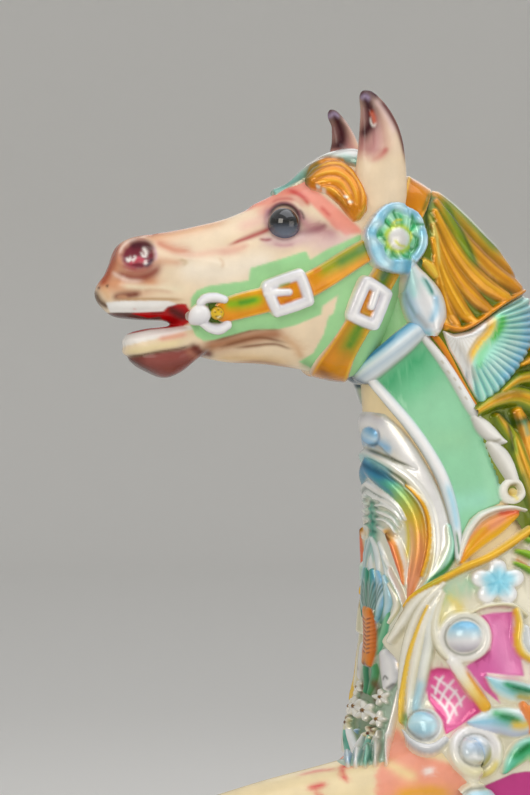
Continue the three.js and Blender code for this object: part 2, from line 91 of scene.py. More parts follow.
def linear(hex_colour):
    channels = [int(hex_colour[i:i + 2], 16) / 255 for i in (1, 3, 5)]
    return np.array([c / 12.92 if c <= 0.04045 else ((c + 0.055) / 1.055) ** 2.4 for c in channels])


def add_node(tree, kind, inputs=(), **settings):
    node = tree.nodes.new(kind)
    for name, value in settings.items():
        setattr(node, name, value)
    for socket, value in dict(inputs).items():
        if isinstance(value, bpy.types.NodeSocket):
            tree.links.new(value, node.inputs[socket])
        else:
            node.inputs[socket].default_value = value
    return node


def new_material(name):
    material = bpy.data.materials.new(name)
    material.use_nodes = True
    tree = material.node_tree
    tree.nodes.clear()
    shader = add_node(tree, "ShaderNodeBsdfPrincipled")
    output = add_node(tree, "ShaderNodeOutputMaterial", {"Surface": shader.outputs[0]})
    output.location = (400, 0)
    return material, tree, shader


def mesh_object(name, vertices, faces, material=None):
    mesh = bpy.data.meshes.new(name)
    mesh.from_pydata([tuple(v) for v in np.asarray(vertices, float)], [], [tuple(map(int, f)) for f in faces])
    mesh.validate()
    piece = bpy.data.objects.new(name, mesh)
    bpy.context.scene.collection.objects.link(piece)
    mesh.polygons.foreach_set("use_smooth", [True] * len(mesh.polygons))
    if material:
        mesh.materials.append(material)
    return piece


curve = [(FLOOR_RADIUS + math.sin(a) * CURVE_RADIUS, CURVE_RADIUS - math.cos(a) * CURVE_RADIUS)
         for a in np.linspace(0, math.pi / 2, 25)]
profile = [(0.5, 0.0), (4.0, 0.0), (8.0, 0.0), (11.6, 0.0)] + curve
profile += [(FLOOR_RADIUS + CURVE_RADIUS, CURVE_RADIUS + 0.4), (FLOOR_RADIUS + CURVE_RADIUS, WALL_HEIGHT)]
turn = np.linspace(0, 2 * math.pi, WALL_SIDES, endpoint=False)
vertices = [(r * math.cos(a), r * math.sin(a), h) for r, h in profile for a in turn]
faces = [tuple(range(WALL_SIDES))]
for i in range(len(profile) - 1):
    ring, outer = i * WALL_SIDES, (i + 1) * WALL_SIDES
    faces += [(ring + j, outer + j, outer + (j + 1) % WALL_SIDES, ring + (j + 1) % WALL_SIDES)
              for j in range(WALL_SIDES)]

# Paper without a coating scatters all light, so no highlight shows on it.
paper, tree, shader = new_material("studio_paper")
shader.inputs["Base Color"].default_value = (*linear("#ecebe8"), 1)
shader.inputs["Roughness"].default_value = 0.9
backdrop = mesh_object("studio_backdrop", vertices, faces, paper)

# Each lamp is a square softbox: its place in metres, its side, its power in watts and its colour.
LAMPS = [
    ("key_light", (-3.6, -3.4, 3.2), 2.6, 66.0, "#fff6ea"),
    ("top_light", (0.2, -0.6, 4.4), 3.4, 46.0, "#f6f8ff"),
    ("fill_light", (2.6, -4.2, 1.4), 3.4, 40.0, "#fff8f0"),
    ("back_light", (1.2, 3.4, 3.2), 2.4, 12.0, "#ffffff"),
]
LAMP_AIM = Vector((-0.2, 0.0, 1.2))
AIR_STRENGTH = 0.62
for name, place, size, power, colour in LAMPS:
    lamp = bpy.data.lights.new(name, "AREA")
    lamp.shape = "SQUARE"
    lamp.size = size
    lamp.energy = power
    lamp.color = linear(colour)
    holder = bpy.data.objects.new(name, lamp)
    holder.location = place
    holder.visible_camera = False
    holder.rotation_mode = "QUATERNION"
    holder.rotation_quaternion = (LAMP_AIM - Vector(place)).to_track_quat("-Z", "Y")
    bpy.context.scene.collection.objects.link(holder)
world = bpy.data.worlds.new("studio_air")
world.use_nodes = True
world.node_tree.nodes["Background"].inputs["Color"].default_value = (*linear("#f0f0f0"), 1)
world.node_tree.nodes["Background"].inputs["Strength"].default_value = AIR_STRENGTH
bpy.context.scene.world = world
bpy.context.scene.view_settings.view_transform = "Standard"


# The head, lower jaw and ears are one smooth shell of moulded glass-fibre, painted by hand. Each row is a
# section: its place along the axis, the two ends of its height, and half its width, in mm. A row of an ear
# is a point on its axis (x, y, z) and its half breadth.
MM = 0.001
HEAD_ROWS = [
    (-769, 1468, 1457, 10), (-765, 1476, 1449, 18), (-756, 1488, 1440, 27), (-748, 1506, 1434, 34),
    (-737, 1526, 1431, 40), (-710, 1537, 1429, 47), (-680, 1542, 1428, 48), (-664, 1545, 1422, 49),
    (-650, 1548, 1408, 51), (-638, 1551, 1386, 53), (-600, 1561, 1376, 58), (-560, 1578, 1374, 64),
    (-530, 1593, 1372, 68), (-500, 1611, 1368, 70), (-465, 1637, 1360, 70), (-430, 1649, 1356, 68),
    (-400, 1648, 1375, 62), (-370, 1636, 1420, 52),
]
JAW_ROWS = [
    (-733, 1403, 1386, 11), (-726, 1412, 1378, 21), (-705, 1418, 1365, 31), (-681, 1421, 1355, 36),
    (-660, 1424, 1362, 38), (-640, 1426, 1378, 40), (-620, 1426, 1392, 38),
]
NEAR_EAR = [
    (-400, 36, 1556, 37), (-400, 41, 1588, 37.5), (-400, 45, 1618, 35.5), (-400, 47, 1644, 33),
    (-401, 48, 1664, 30.5), (-404, 49, 1684, 27), (-408, 49, 1700, 22.5), (-413.5, 48.5, 1714, 17.5),
    (-418.5, 48, 1724, 12), (-421, 48, 1730, 6),
]
HEAD_SQUARENESS = 2.4
BROW_TAPER = 0.22
JAW_TAPER = 0.12
HEAD_VOXEL = 2.1
RIGHT_EAR_SHIFT = np.array([-14.0, 0.0, -12.0]) * MM
RIGHT_EAR_SLIMMER = 0.24
EAR_FOOT = 1.650
EAR_CLEAR = 1.672


def smooth_path(points, steps=8):
    knots = np.array(points, float)
    ends = np.vstack([2 * knots[0] - knots[1], knots, 2 * knots[-1] - knots[-2]])
    share = np.linspace(0, 1, steps, endpoint=False)[:, None]
    runs = []
    for a, b, c, d in zip(ends, ends[1:], ends[2:], ends[3:]):
        runs.append(0.5 * (2 * b + (c - a) * share + (2 * a - 5 * b + 4 * c - d) * share ** 2
                           + (3 * b - a - 3 * c + d) * share ** 3))
    return np.vstack(runs + [knots[-1:]])


def tube_faces(ring_count, ring_size):
    i, j = np.meshgrid(np.arange(ring_count - 1), np.arange(ring_size), indexing="ij")
    a = i * ring_size + j
    b = i * ring_size + (j + 1) % ring_size
    sides = np.stack([a, b, b + ring_size, a + ring_size], -1).reshape(-1, 4)
    start = list(range(ring_size))[::-1]
    end = list(range((ring_count - 1) * ring_size, ring_count * ring_size))
    return [tuple(f) for f in sides] + [tuple(start), tuple(end)]


def superellipse(power, count=64):
    angle = np.linspace(0, 2 * math.pi, count, endpoint=False)
    across = np.sign(np.cos(angle)) * np.abs(np.cos(angle)) ** (2 / power)
    up = np.sign(np.sin(angle)) * np.abs(np.sin(angle)) ** (2 / power)
    return across, up


def lengthwise_form(rows, power, taper_up=0.0, taper_down=0.0):
    across, up = superellipse(power)
    narrowing = 1 - taper_up * np.maximum(0, up) ** 2 - taper_down * np.maximum(0, -up) ** 2
    rings = []
    for x, top, bottom, half_width in smooth_path(rows, 6):
        y = max(half_width, 2) * across * narrowing
        z = (top + bottom) / 2 + (top - bottom) / 2 * up
        rings.append(np.stack([np.full_like(y, x), y, z], 1))
    return np.vstack(rings) * MM, tube_faces(len(rings), len(across))


def ear_form(side):
    path = smooth_path([(x, z, r) for x, _, z, r in NEAR_EAR], 6)
    aside = smooth_path([(x, y, z) for x, y, z, _ in NEAR_EAR], 6)[:, 1]
    across, up = superellipse(2.0, 40)
    rings = []
    for (x, z, r), y in zip(path, aside):
        slimmer = RIGHT_EAR_SLIMMER * np.clip((z / 1000 - 1.62) / 0.05, 0, 1) if side > 0 else 0
        thin = 0.62 * r
        rings.append(np.stack([x + r * (1 - slimmer) * up, side * y + thin * across, np.full_like(up, z)], 1))
    points = np.vstack(rings) * MM
    if side > 0:
        points = points + RIGHT_EAR_SHIFT * np.clip((points[:, 2:] - 1.60) / 0.05, 0, 1)
    return points, tube_faces(len(rings), len(across))


def joined(parts):
    points = np.vstack([p for p, _ in parts])
    faces = []
    first = 0
    for part_points, part_faces in parts:
        faces += [tuple(i + first for i in f) for f in part_faces]
        first += len(part_points)
    return points, faces


def fused(parts, voxel, rounds):
    rough = mesh_object("rough_form", *joined(parts))
    remesh = rough.modifiers.new("skin", "REMESH")
    remesh.mode = "VOXEL"
    remesh.voxel_size = voxel * MM
    ease = rough.modifiers.new("ease", "SMOOTH")
    ease.factor = 0.5
    ease.iterations = rounds
    return taken_apart(rough)


def taken_apart(piece):
    evaluated = piece.evaluated_get(bpy.context.evaluated_depsgraph_get())
    mesh = evaluated.to_mesh()
    points = np.empty(len(mesh.vertices) * 3)
    mesh.vertices.foreach_get("co", points)
    corners = np.empty(len(mesh.loops), int)
    mesh.loops.foreach_get("vertex_index", corners)
    evaluated.to_mesh_clear()
    bpy.data.objects.remove(piece)
    return points.reshape(-1, 3), corners.reshape(-1, 4)


def normals_of(points, faces):
    crossed = np.cross(points[faces[:, 2]] - points[faces[:, 0]], points[faces[:, 3]] - points[faces[:, 1]])
    total = np.zeros_like(points)
    for corner in range(4):
        np.add.at(total, faces[:, corner], crossed)
    return total / np.maximum(np.linalg.norm(total, axis=1), 1e-12)[:, None]


# Paint and carving are laid out in the photograph's 530 by 795 frame, where one pixel is about 1.3 mm
# on the horse. The far side is the near side's mirror image, so its points are folded over first.
IMAGE_WIDTH = 530
IMAGE_HEIGHT = 795


def photo_frame(points):
    folded = np.array(points, float)
    folded[:, 1] = -np.abs(folded[:, 1])
    seen = folded - EYE
    depth = seen @ AHEAD
    scale = LENS_MM / SENSOR_MM * IMAGE_HEIGHT / depth
    return np.stack([IMAGE_WIDTH / 2 + scale * (seen @ ACROSS), IMAGE_HEIGHT / 2 - scale * seen[:, 2]], 1)


FADE_REACH = 2.6


# Carving and paint over a skin, laid on mark by mark. A mark's path is a list of points (across, down,
# half width) in the photograph's pixels, written as one flat list with a point's numbers side by side.
# Its rise is in mm along the skin's normal.
class Carving:
    def __init__(self, points, ground, frame=photo_frame):
        self.points = points
        self.at = frame(points)
        self.height = np.zeros(len(points))
        self.paint = np.tile(linear(ground), (len(points), 1))
        self.share = np.ones(len(points))

    def near(self, path, reach):
        path = np.asarray(path, float)
        margin = path[:, 2].max() * reach + 2 if path.shape[1] > 2 else reach
        low = path[:, :2].min(0) - margin
        high = path[:, :2].max(0) + margin
        return np.flatnonzero(((self.at > low) & (self.at < high)).all(1) & (self.share > 0))

    # How far the points lie from a path, as a share of its half width there, how far along it, and on
    # which side.
    def measure(self, path, chosen):
        p = self.at[chosen]
        track = smooth_path(path, 6) if len(path) > 2 else np.array(path, float)
        best = np.full(len(p), 1e9)
        along = np.zeros(len(p))
        aside = np.zeros(len(p))
        count = len(track) - 1
        for k in range(count):
            a, b = track[k], track[k + 1]
            step = b[:2] - a[:2]
            share = np.clip(((p - a[:2]) @ step) / max(step @ step, 1e-9), 0, 1)
            offset = p - a[:2] - share[:, None] * step
            width = np.maximum(a[2] + share * (b[2] - a[2]), 0.3)
            far = np.hypot(offset[:, 0], offset[:, 1]) / width
            closer = far < best
            best[closer] = far[closer]
            along[closer] = (k + share[closer]) / count
            turn = step[0] * (p - a[:2])[:, 1] - step[1] * (p - a[:2])[:, 0]
            sideways = np.clip(turn / (max(math.hypot(*step), 1e-9) * width), -1, 1)
            aside[closer] = sideways[closer]
        return best, along, aside

    def inside(self, outline, chosen):
        p = self.at[chosen]
        corners = np.reshape(outline, (-1, 2)).astype(float)
        nearest = np.full(len(p), 1e9)
        odd = np.zeros(len(p), bool)
        for a, b in zip(corners, np.roll(corners, -1, axis=0)):
            step = b - a
            share = np.clip(((p - a) @ step) / max(step @ step, 1e-9), 0, 1)
            offset = p - a - share[:, None] * step
            nearest = np.minimum(nearest, np.hypot(offset[:, 0], offset[:, 1]))
            spans = (a[1] > p[:, 1]) != (b[1] > p[:, 1])
            crossing = a[0] + (p[:, 1] - a[1]) * step[0] / (step[1] if step[1] else 1e-9)
            odd ^= spans & (p[:, 0] < crossing)
        return np.where(odd, nearest, -nearest)

    def tint(self, chosen, cover, colour):
        cover = (np.clip(cover, 0, 1) * self.share[chosen])[:, None]
        self.paint[chosen] = self.paint[chosen] * (1 - cover) + colour * cover

    # An airbrushed stroke: thick along its path, gone at about twice its half width, and, where it is
    # long, thinned towards its two ends.
    def wash(self, path, colour, strength=1.0):
        path = np.reshape(path, (-1, 3))
        chosen = self.near(path, FADE_REACH)
        far, along, _ = self.measure(path, chosen)
        length = sum(math.dist(a[:2], b[:2]) for a, b in zip(path, path[1:]))
        if length > 6 * max(p[2] for p in path):
            run = np.clip(np.minimum(along, 1 - along) * 4 + 0.1, 0, 1)
            strength = strength * run * run * (3 - 2 * run)
        self.tint(chosen, strength * np.exp(-far ** 2), linear(colour))

    def washes(self, *rows):
        for colour, strength, *path in rows:
            self.wash(path, colour, strength)

    # A soft swelling, or a crease where the rise is negative.
    def swell(self, path, rise):
        path = np.reshape(path, (-1, 3))
        chosen = self.near(path, FADE_REACH)
        far, _, _ = self.measure(path, chosen)
        self.height[chosen] += rise * np.exp(-far ** 2) * self.share[chosen]

    def swells(self, *rows):
        for rise, *path in rows:
            self.swell(path, rise)

    # A flat field with a painted edge, raised by a bevelled step where it has a rise.
    def field(self, outline, colour, rise=0.0, bevel=2.0, soft=1.2, base=None):
        chosen = self.near(np.reshape(outline, (-1, 2)), 3 + bevel)
        depth = self.inside(outline, chosen)
        cover = np.clip(depth / soft + 0.5, 0, 1)
        if rise:
            share = np.clip(depth / bevel, 0, 1)
            step = rise * np.sqrt(1 - (1 - share) ** 2)
            floor = self.height[chosen] if base is None else np.full(len(chosen), float(base))
            raised = np.where(depth > 0, floor + step, self.height[chosen])
            self.height[chosen] = np.maximum(self.height[chosen], raised) if rise > 0 else raised
        if colour:
            self.tint(chosen, cover, linear(colour))

    # A rounded strand, such as a lock, a rope, a leaf or a petal. Its colours run across it from its left
    # edge to its right one, as seen by someone who walks along the path, or lengthwise from its start.
    def strand(self, path, rise, colours, base=0.0, power=0.5, lengthwise=False, rim=None):
        path = np.reshape(path, (-1, 3))
        chosen = self.near(path, 1.3)
        far, along, aside = self.measure(path, chosen)
        profile = np.clip(1 - far ** 2, 0, 1) ** power
        lifted = base + rise * profile
        cover = np.clip((lifted - self.height[chosen]) / 0.8 + 0.5, 0, 1) * np.clip((1 - far) * 6, 0, 1)
        place = along if lengthwise else np.clip((aside + 1) / 2, 0, 1)
        stops = np.array([linear(c) for c in colours.split()])
        ticks = np.linspace(0, 1, len(stops))
        colour = np.stack([np.interp(place, ticks, stops[:, k]) for k in range(3)], 1)
        if rim:
            edge = np.clip((far - 0.72) / 0.2, 0, 1)[:, None]
            colour = colour * (1 - edge) + linear(rim) * edge
        self.tint(chosen, cover, colour)
        self.height[chosen] = np.where(far < 1, np.maximum(self.height[chosen], lifted), self.height[chosen])

    def strands(self, *rows, **shape):
        for rise, colours, *path in rows:
            self.strand(path, rise, colours, **shape)


# Primer and enamel fill the sharp corners of a carving, so its heights and colours are eased a little.
def eased(values, faces, rounds):
    count = len(values)
    spread = np.bincount(faces.ravel(), minlength=count) * 2.0
    for _ in range(rounds):
        total = np.zeros_like(values)
        for corner in range(4):
            for other in (faces[:, (corner + 1) % 4], faces[:, (corner + 3) % 4]):
                for k in range(values.shape[1]):
                    total[:, k] += np.bincount(faces[:, corner], values[other, k], count)
        values = 0.5 * values + 0.5 * total / spread[:, None]
    return values


# A carved skin is thinned to a share of its triangles. They stay small where the form turns or the paint
# changes, and grow large where both are plain.
PAINT_GAIN = 12
PAINT_PULL = 0.0003


def thinned(piece, share, change):
    plain = piece.vertex_groups.new(name="plain_paint")
    steps = np.round(10 - 9 * np.clip(change * PAINT_GAIN, 0, 1))
    for step in np.unique(steps):
        plain.add(np.flatnonzero(steps == step).tolist(), step / 10, "REPLACE")
    thin = piece.modifiers.new("thin", "DECIMATE")
    thin.ratio = share
    thin.vertex_group = plain.name
    thin.vertex_group_factor = PAINT_PULL
    dense = piece.data
    piece.data = bpy.data.meshes.new_from_object(piece.evaluated_get(bpy.context.evaluated_depsgraph_get()))
    piece.modifiers.clear()
    bpy.data.meshes.remove(dense)


# Paint goes on a piece's points as a colour.
def lay_paint(piece, tones):
    paint = piece.data.color_attributes.new("paint", "FLOAT_COLOR", "POINT")
    paint.data.foreach_set("color", np.hstack([np.clip(tones, 0, 1), np.ones((len(tones), 1))]).ravel())


# A carved piece is its form with the carved heights laid on, eased a little and then thinned.
HEIGHT_EASING = 3
PAINT_EASING = 1


def carved_piece(name, points, faces, skin, material, normals, share=0.38):
    skin.height = eased(skin.height[:, None], faces, HEIGHT_EASING)[:, 0]
    skin.paint = eased(skin.paint, faces, PAINT_EASING)
    piece = mesh_object(name, points + normals * skin.height[:, None] * MM, faces, material)
    lay_paint(piece, skin.paint)
    thinned(piece, share, eased(np.abs(eased(skin.paint, faces, 2) - skin.paint), faces, 1).max(1))
    return piece


# Gloss enamel is brushed and airbrushed over primer, under clear varnish. Paint and varnish have nearly the
# same index, so the paint reflects little by itself and the varnish gives the gloss. The brush leaves a
# faint ripple a few millimetres wide, and the colour clouds a little over about 28 mm.
CLOUD_MM = 28.0


def enamel(name, roughness=0.24, coat=0.75, metallic=0.0, grain_mm=5.0, grain_depth=0.25, streak=0.06):
    material, tree, shader = new_material(name)
    paint = add_node(tree, "ShaderNodeAttribute", attribute_name="paint")
    place = add_node(tree, "ShaderNodeTexCoord").outputs["Object"]
    cloud = add_node(tree, "ShaderNodeTexNoise",
                     {"Vector": place, "Scale": 1 / (CLOUD_MM * MM), "Detail": 5.0})
    shade = add_node(tree, "ShaderNodeMapRange",
                     {"Value": cloud.outputs["Fac"], "From Min": 0.3, "From Max": 0.7,
                      "To Min": 1 - streak, "To Max": 1 + streak})
    colour = add_node(tree, "ShaderNodeVectorMath", {0: paint.outputs["Color"], 3: 1.0}, operation="SCALE")
    tree.links.new(shade.outputs[0], colour.inputs["Scale"])
    ripple = add_node(tree, "ShaderNodeTexNoise",
                      {"Vector": place, "Scale": 1 / (grain_mm * MM), "Detail": 3.0})
    bump = add_node(tree, "ShaderNodeBump",
                    {"Height": ripple.outputs["Fac"], "Strength": 0.5, "Distance": grain_depth * MM})
    tree.links.new(colour.outputs[0], shader.inputs["Base Color"])
    tree.links.new(bump.outputs[0], shader.inputs["Normal"])
    shader.inputs["Roughness"].default_value = roughness
    shader.inputs["Metallic"].default_value = metallic
    shader.inputs["Specular IOR Level"].default_value = 0.1
    shader.inputs["Coat Weight"].default_value = coat
    shader.inputs["Coat Roughness"].default_value = 0.1
    return material


def oval_path(centre, radii, half_width, tilt=0.0, start=0.0, turn=360.0, count=14):
    angle = np.radians(start + np.linspace(0, turn, count))
    lean = math.radians(tilt)
    across = radii[0] * np.cos(angle)
    down = radii[1] * np.sin(angle)
    return [(centre[0] + a * math.cos(lean) - d * math.sin(lean),
        centre[1] + a * math.sin(lean) + d * math.cos(lean), half_width) for a, d in zip(across, down)]


def outline_of(path):
    return [(p[0], p[1]) for p in path]


# The marks on the head follow, from the bones under the skin to the last line of paint. The nostril is a
# soft rolled rim round a hollow with a ball of red inside it.
def carve_nostril(skin):
    skin.swells(
        (-4.5, 128,256,8, 149,254,8),
        (2.4, *oval_path((137.5, 256), (18.8, 15.6), 3.2, -6)))
    skin.washes(
        ("#a5504a", 0.8, *oval_path((138, 256), (18, 15), 3.4, -6, 20, 150, 8)),
        ("#d99a86", 0.85, *oval_path((138, 256), (18, 15), 2.6, -6, 160, 160, 8)),
        # The pale arc on the rim's upper left is a painted highlight.
        ("#f6dccb", 0.9, *oval_path((138, 256), (18.4, 15.4), 1.1, -6, 190, 90, 7)),
        ("#d2a8bc", 0.85, *oval_path((138, 256), (18, 15), 1.6, -6, -40, 70, 6)))
    skin.field(outline_of(oval_path((138, 256), (17, 13.4), 1, -6)), "#7a2836", soft=3)
    skin.washes(
        ("#4a1420", 0.95, 128,247,3, 137,244.5,4, 148,245,4.4, 152,252,3.6),
        ("#4a3444", 0.9, 153,256,2.2, 150,263,2.4, 144,268,2),
        ("#a33a40", 0.85, 124,260,1.8, 129,266,2, 138,269.5,1.8))
    skin.strand([131,262,3, 138,259,5, 145,262,3.2], 3, "#96283a #cf4f62 #98303b", base=-3.5, power=0.8)
    # The white flecks in the hollow are painted glints: painted highlights on the gloss.
    skin.washes(
        ("#faf4ee", 1, 125,255,1.6, 128,259.5,1.6, 130,253,1.2),
        ("#faf4ee", 1, 128,262,1.3, 131,258,1.3, 134,262,1),
        ("#faf4ee", 1, 133,253,1.2, 135,257,1.2, 133,261,1),
        ("#faf4ee", 1, 142,246,1.3, 146,251,1.9, 144,257,1.3),
        ("#faf4ee", 1, 147,258,1.1, 145,263,1.4, 148,262,0.9),
        ("#faf4ee", 1, 141,251,0.9, 143,255,1.1))


def carve_muzzle(skin):
    skin.swells(
        (1.5, 200,268,7, 250,262,8, 310,262,9),
        (1.2, 182,259,3, 205,261,3, 223,267,3),
        (-1.6, 152,237,4, 176,249,5, 230,246,7),
        (1.4, 112,286,3, 130,287,3.5, 160,288,3),
        (-1.6, 112,296,2, 128,294,2.6, 142,291,2.4))
    skin.washes(
        ("#efc3a0", 0.75, 128,262,22, 118,280,15, 140,284,14),
        ("#dd9468", 0.8, 116,262,12, 106,282,9, 128,282,12, 150,282,9),
        ("#eab48b", 0.8, 130,243,9, 160,236,8, 200,226,7, 236,217,5),
        ("#a8430f", 1.0, 126,238,5, 116,250,6.5, 110,266,6, 104,280,5, 97,292,4.5),
        ("#9c3414", 0.9, 122,240,4, 138,234,4, 160,231,3.8, 190,224,3.6, 224,216,3),
        ("#d2795a", 0.75, 154,239,3, 164,245,4.5, 178,250,5, 196,251,4),
        ("#fbf1e0", 0.75, 190,270,12, 224,272,14, 262,262,12),
        ("#eebba2", 0.6, 176,256,3, 200,254,4, 226,249,4, 244,243,4),
        ("#d99e7e", 0.6, 150,262,3, 160,261,5, 172,262,4, 186,264,3),
        ("#c9a878", 0.55, 178,259,1.4, 186,262,1.6, 182,266,1.4),
        ("#d8b48c", 0.55, 218,257,1.3, 223,263,1.5, 221,269,1.3),
        ("#8f3b32", 0.9, 114,270,3.2, 124,276,4.6, 139,278,5, 154,272,5, 163,260,4),
        # The pale pink line along the crease under the nostril is a painted highlight.
        ("#f3d3c2", 0.85, 111,271,1.6, 118,276,2.2, 130,281,2.4, 146,281,2),
        ("#f9ebcd", 0.9, 116,285,3, 150,288,3.4, 194,290,3.4),
        ("#7a3a2c", 0.95, 110,298,2.8, 121,296,4, 132,295,4, 144,293,2.6),
        ("#cf9b78", 0.8, 118,297,1.6, 122,296.5,1.8, 126,297,1.4),
        ("#d7a583", 0.5, 142,290,2.2, 156,290,2.2, 176,293,2),
        ("#5f3c1c", 0.95, 95,294,4, 99,301,4, 106,306,3),
        ("#e7b888", 0.6, 104,289,4, 108,297,3.4),
        ("#b98b58", 0.75, 110,300.5,1.5, 150,299,1.5, 188,300,1.8))
    for across, down in ((98.4, 288), (107, 286)):
        skin.wash([(across, down, 1.1), (across + 0.6, down, 1.1)], "#2c120c", 1)
    carve_nostril(skin)


# The lower lip and the chin's bulge.
def carve_lower_lip(skin):
    skin.washes(
        ("#f1dfb0", 0.95, 122,353,4, 140,350,4.6, 165,345.5,5, 190,339,4),
        ("#ea9f88", 0.75, 156,339.5,2.4, 172,337,3, 190,333.5,2.6))
    skin.field([118,360, 136,357, 158,352.5, 182,349.5, 199,345, 203,357, 190,366, 180,377, 165,386,
        138,378], "#86443c", soft=2.6)
    skin.washes(
        ("#4a2a1e", 0.95, 122,360,4, 134,366,7, 150,375,6),
        ("#4a221e", 0.8, 150,378,3.6, 166,381,3.6, 178,374,3),
        ("#9c544d", 0.75, 150,360,5, 168,357,6, 184,356,5),
        ("#c98a70", 0.55, 190,352,4, 196,356,4),
        ("#54301f", 0.95, 122,358.5,1.5, 138,356,1.5, 160,351.6,1.5, 180,348.5,1.6, 196,344,1.8))
    skin.swells(
        (-2.6, 124,358,2.5, 150,353.5,2.5, 194,346,3),
        (2.4, 144,362,7, 162,363,9, 178,359,7))


# Brown folds along the jaw.
def carve_jaw_folds(skin):
    skin.washes(
        ("#e9c591", 0.8, 206,359,4, 250,359,5, 300,364,6),
        ("#b37a57", 0.95, 194,350,6, 216,345,8, 244,339,8.5, 272,334,7, 290,337,5),
        ("#6b3329", 0.95, 194,347,4, 200,352,5, 209,354,4),
        ("#d8ab7f", 0.7, 286,338,5, 296,346,5, 300,354,4))
    for fold in ([206,344,1.5, 236,334.5,1.7, 262,329,1.6, 282,330,1.3],
            [216,349,1.5, 240,342,1.8, 262,338,1.7, 290,343,1.4], [232,349,1.4, 256,346,1.6, 276,344,1.4,
            293,349,1.2]):
        skin.wash(fold, "#83502f", 0.85)
        skin.swell(fold, -1.4)
    skin.wash([206,363,2.4, 226,365,2.4, 258,362,2.4, 284,366,2.4, 312,376,2.6], "#a9764a", 0.8)


def carve_mouth(skin):
    skin.field([108,313, 132,310, 172,309, 176,319, 148,320.5, 134,322, 112,318], "#6f4a44")
    skin.wash([112,316,2.4, 126,316,2.6, 142,319,2], "#553430", 0.8)
    skin.field([131,313.5, 162,308, 170,303.5, 186,304, 191,313, 190,322, 178,329, 171,330, 160,316.5,
        148,318], "#c20a10", soft=0.8)
    skin.washes(
        ("#560e12", 0.95, 172,310,5, 180,315,6, 186,318,4),
        ("#c7161a", 0.9, 176,325,2.4, 186,322,2.4),
        ("#8a0d10", 0.7, 150,314,1.4, 164,312.5,1.6))
    skin.field([106,302.5, 124,300.8, 168,300.8, 177,304, 171,306, 167,307, 164,311, 161,311.5, 136,312.5,
        110,312.5], "#f7f6f4", soft=0.8)
    skin.wash([134,308.5,1, 135,309,1], "#e9b9b4", 0.8)
    skin.field([122,334, 134,329.5, 150,325.5, 178,323, 184,327, 137,332.5, 124,340], "#c9141a", soft=0.8)
    skin.field([119,341, 127,334.5, 150,329.5, 171,327.5, 190,325.5, 194,329, 166,337, 140,342.5, 127,345.5,
        121,347], "#f8f4ef", soft=1.0)
    skin.swells(
        (1.6, 112,306.5,2.6, 160,306,2.6),
        (1.4, 128,341,2.4, 186,330,2.4),
        (-1.6, 121,347,2, 127,346,2.4, 133,345,2))
    carve_lower_lip(skin)
    carve_jaw_folds(skin)


# Lids hug the glass: a thin dark line above it and a soft rim below.
def carve_lids(skin):
    skin.wash([284,221,13, 284.5,222.5,13], "#2a1216", 1)
    skin.swell(oval_path((284.4, 222), (17.4, 18), 2.6, 0, 176, 186, 10), 1.8)
    skin.washes(
        ("#8a4450", 0.9, *oval_path((284.2, 221.6), (16.6, 17.6), 1.9, 0, 178, 190, 10)),
        ("#2a1014", 1.0, *oval_path((284.2, 221.6), (15.2, 16.2), 1.6, 0, 180, 185, 10)),
        ("#3a151c", 0.9, 299,209,1.1, 303,215,1.3, 304,221,1.2),
        ("#9a6f80", 0.7, *oval_path((284.2, 222.6), (16.2, 17.2), 1.4, 0, 8, 164, 10)),
        ("#c96a62", 0.75, 270,205,1.2, 278,200.5,1.4, 288,199.5,1.4, 296,202,1.2))


def carve_eye_and_brow(skin):
    skin.swells(
        (3.4, 256,204,6, 284,192,7, 308,202,7),
        (3.5, 290,345,18, 335,330,26),
        (-1.6, 262,231,4, 246,237,5, 228,244,5),
        (1.6, 272,240,4, 286,244,5, 300,240,4))
    skin.field([234,214, 256,208, 270,205, 281,198, 294,196.5, 306,200, 317,210, 330,223, 346,236, 351,234,
        362,233, 360,228, 337,207, 312,186, 306,172, 290,172, 262,186, 234,200], "#f8a28e", soft=3.0)
    skin.washes(
        ("#ee8468", 0.95, 238,211,3, 262,201,5, 282,192,6, 302,182,7),
        ("#f0a08c", 0.7, 262,208,5, 280,200,4, 296,198,4),
        ("#a5432d", 0.75, 236,211,1.6, 250,204.5,1.8, 264,198,1.8, 278,193,1.8),
        ("#f0a894", 0.8, 258,219,6, 267,209,6, 282,202.5,4, 298,206,4),
        ("#b98398", 0.75, 268,212,3.4, 266,220,3.6, 269,228,3),
        ("#b0687a", 0.75, 298,216,6, 308,225,8, 320,230,9, 332,234,8),
        ("#86404c", 0.75, 298,233,3.4, 308,232,4.6, 318,229,4.6, 324,226,3),
        ("#eac6cc", 0.6, 304,238,7, 322,243,10, 346,241,9),
        ("#e6bfc8", 0.7, 258,237,5, 280,243,6, 308,240,5),
        ("#b0403f", 0.95, 274,227.5,1.6, 265,230.5,3, 252,235.5,3, 240,240,2.2, 226,245,1.2),
        ("#e4a793", 0.6, 250,243,4, 236,250,4.5, 216,254,4),
        ("#f0bfae", 0.7, 244,226,6, 260,221,6),
        ("#a3434e", 0.85, 258,238.6,1.3, 266,240,1.5, 273,239.6,1.2),
        ("#cf98a4", 0.7, 272,244,1.4, 284,246,1.5, 296,244,1.4),
        ("#cb3f39", 0.9, 285,191,3.4, 298,195.5,3.8, 305,201,3.4, 311,208,2.6),
        ("#f0b5a3", 0.8, 288,197,2.2, 298,201.5,2.4, 305,208,2),
        ("#dd5f55", 0.8, 320,206,1.8, 326,212,2, 331,217,1.6),
        ("#ee9282", 0.6, 330,222,1.6, 339,231,1.6))
    carve_lids(skin)


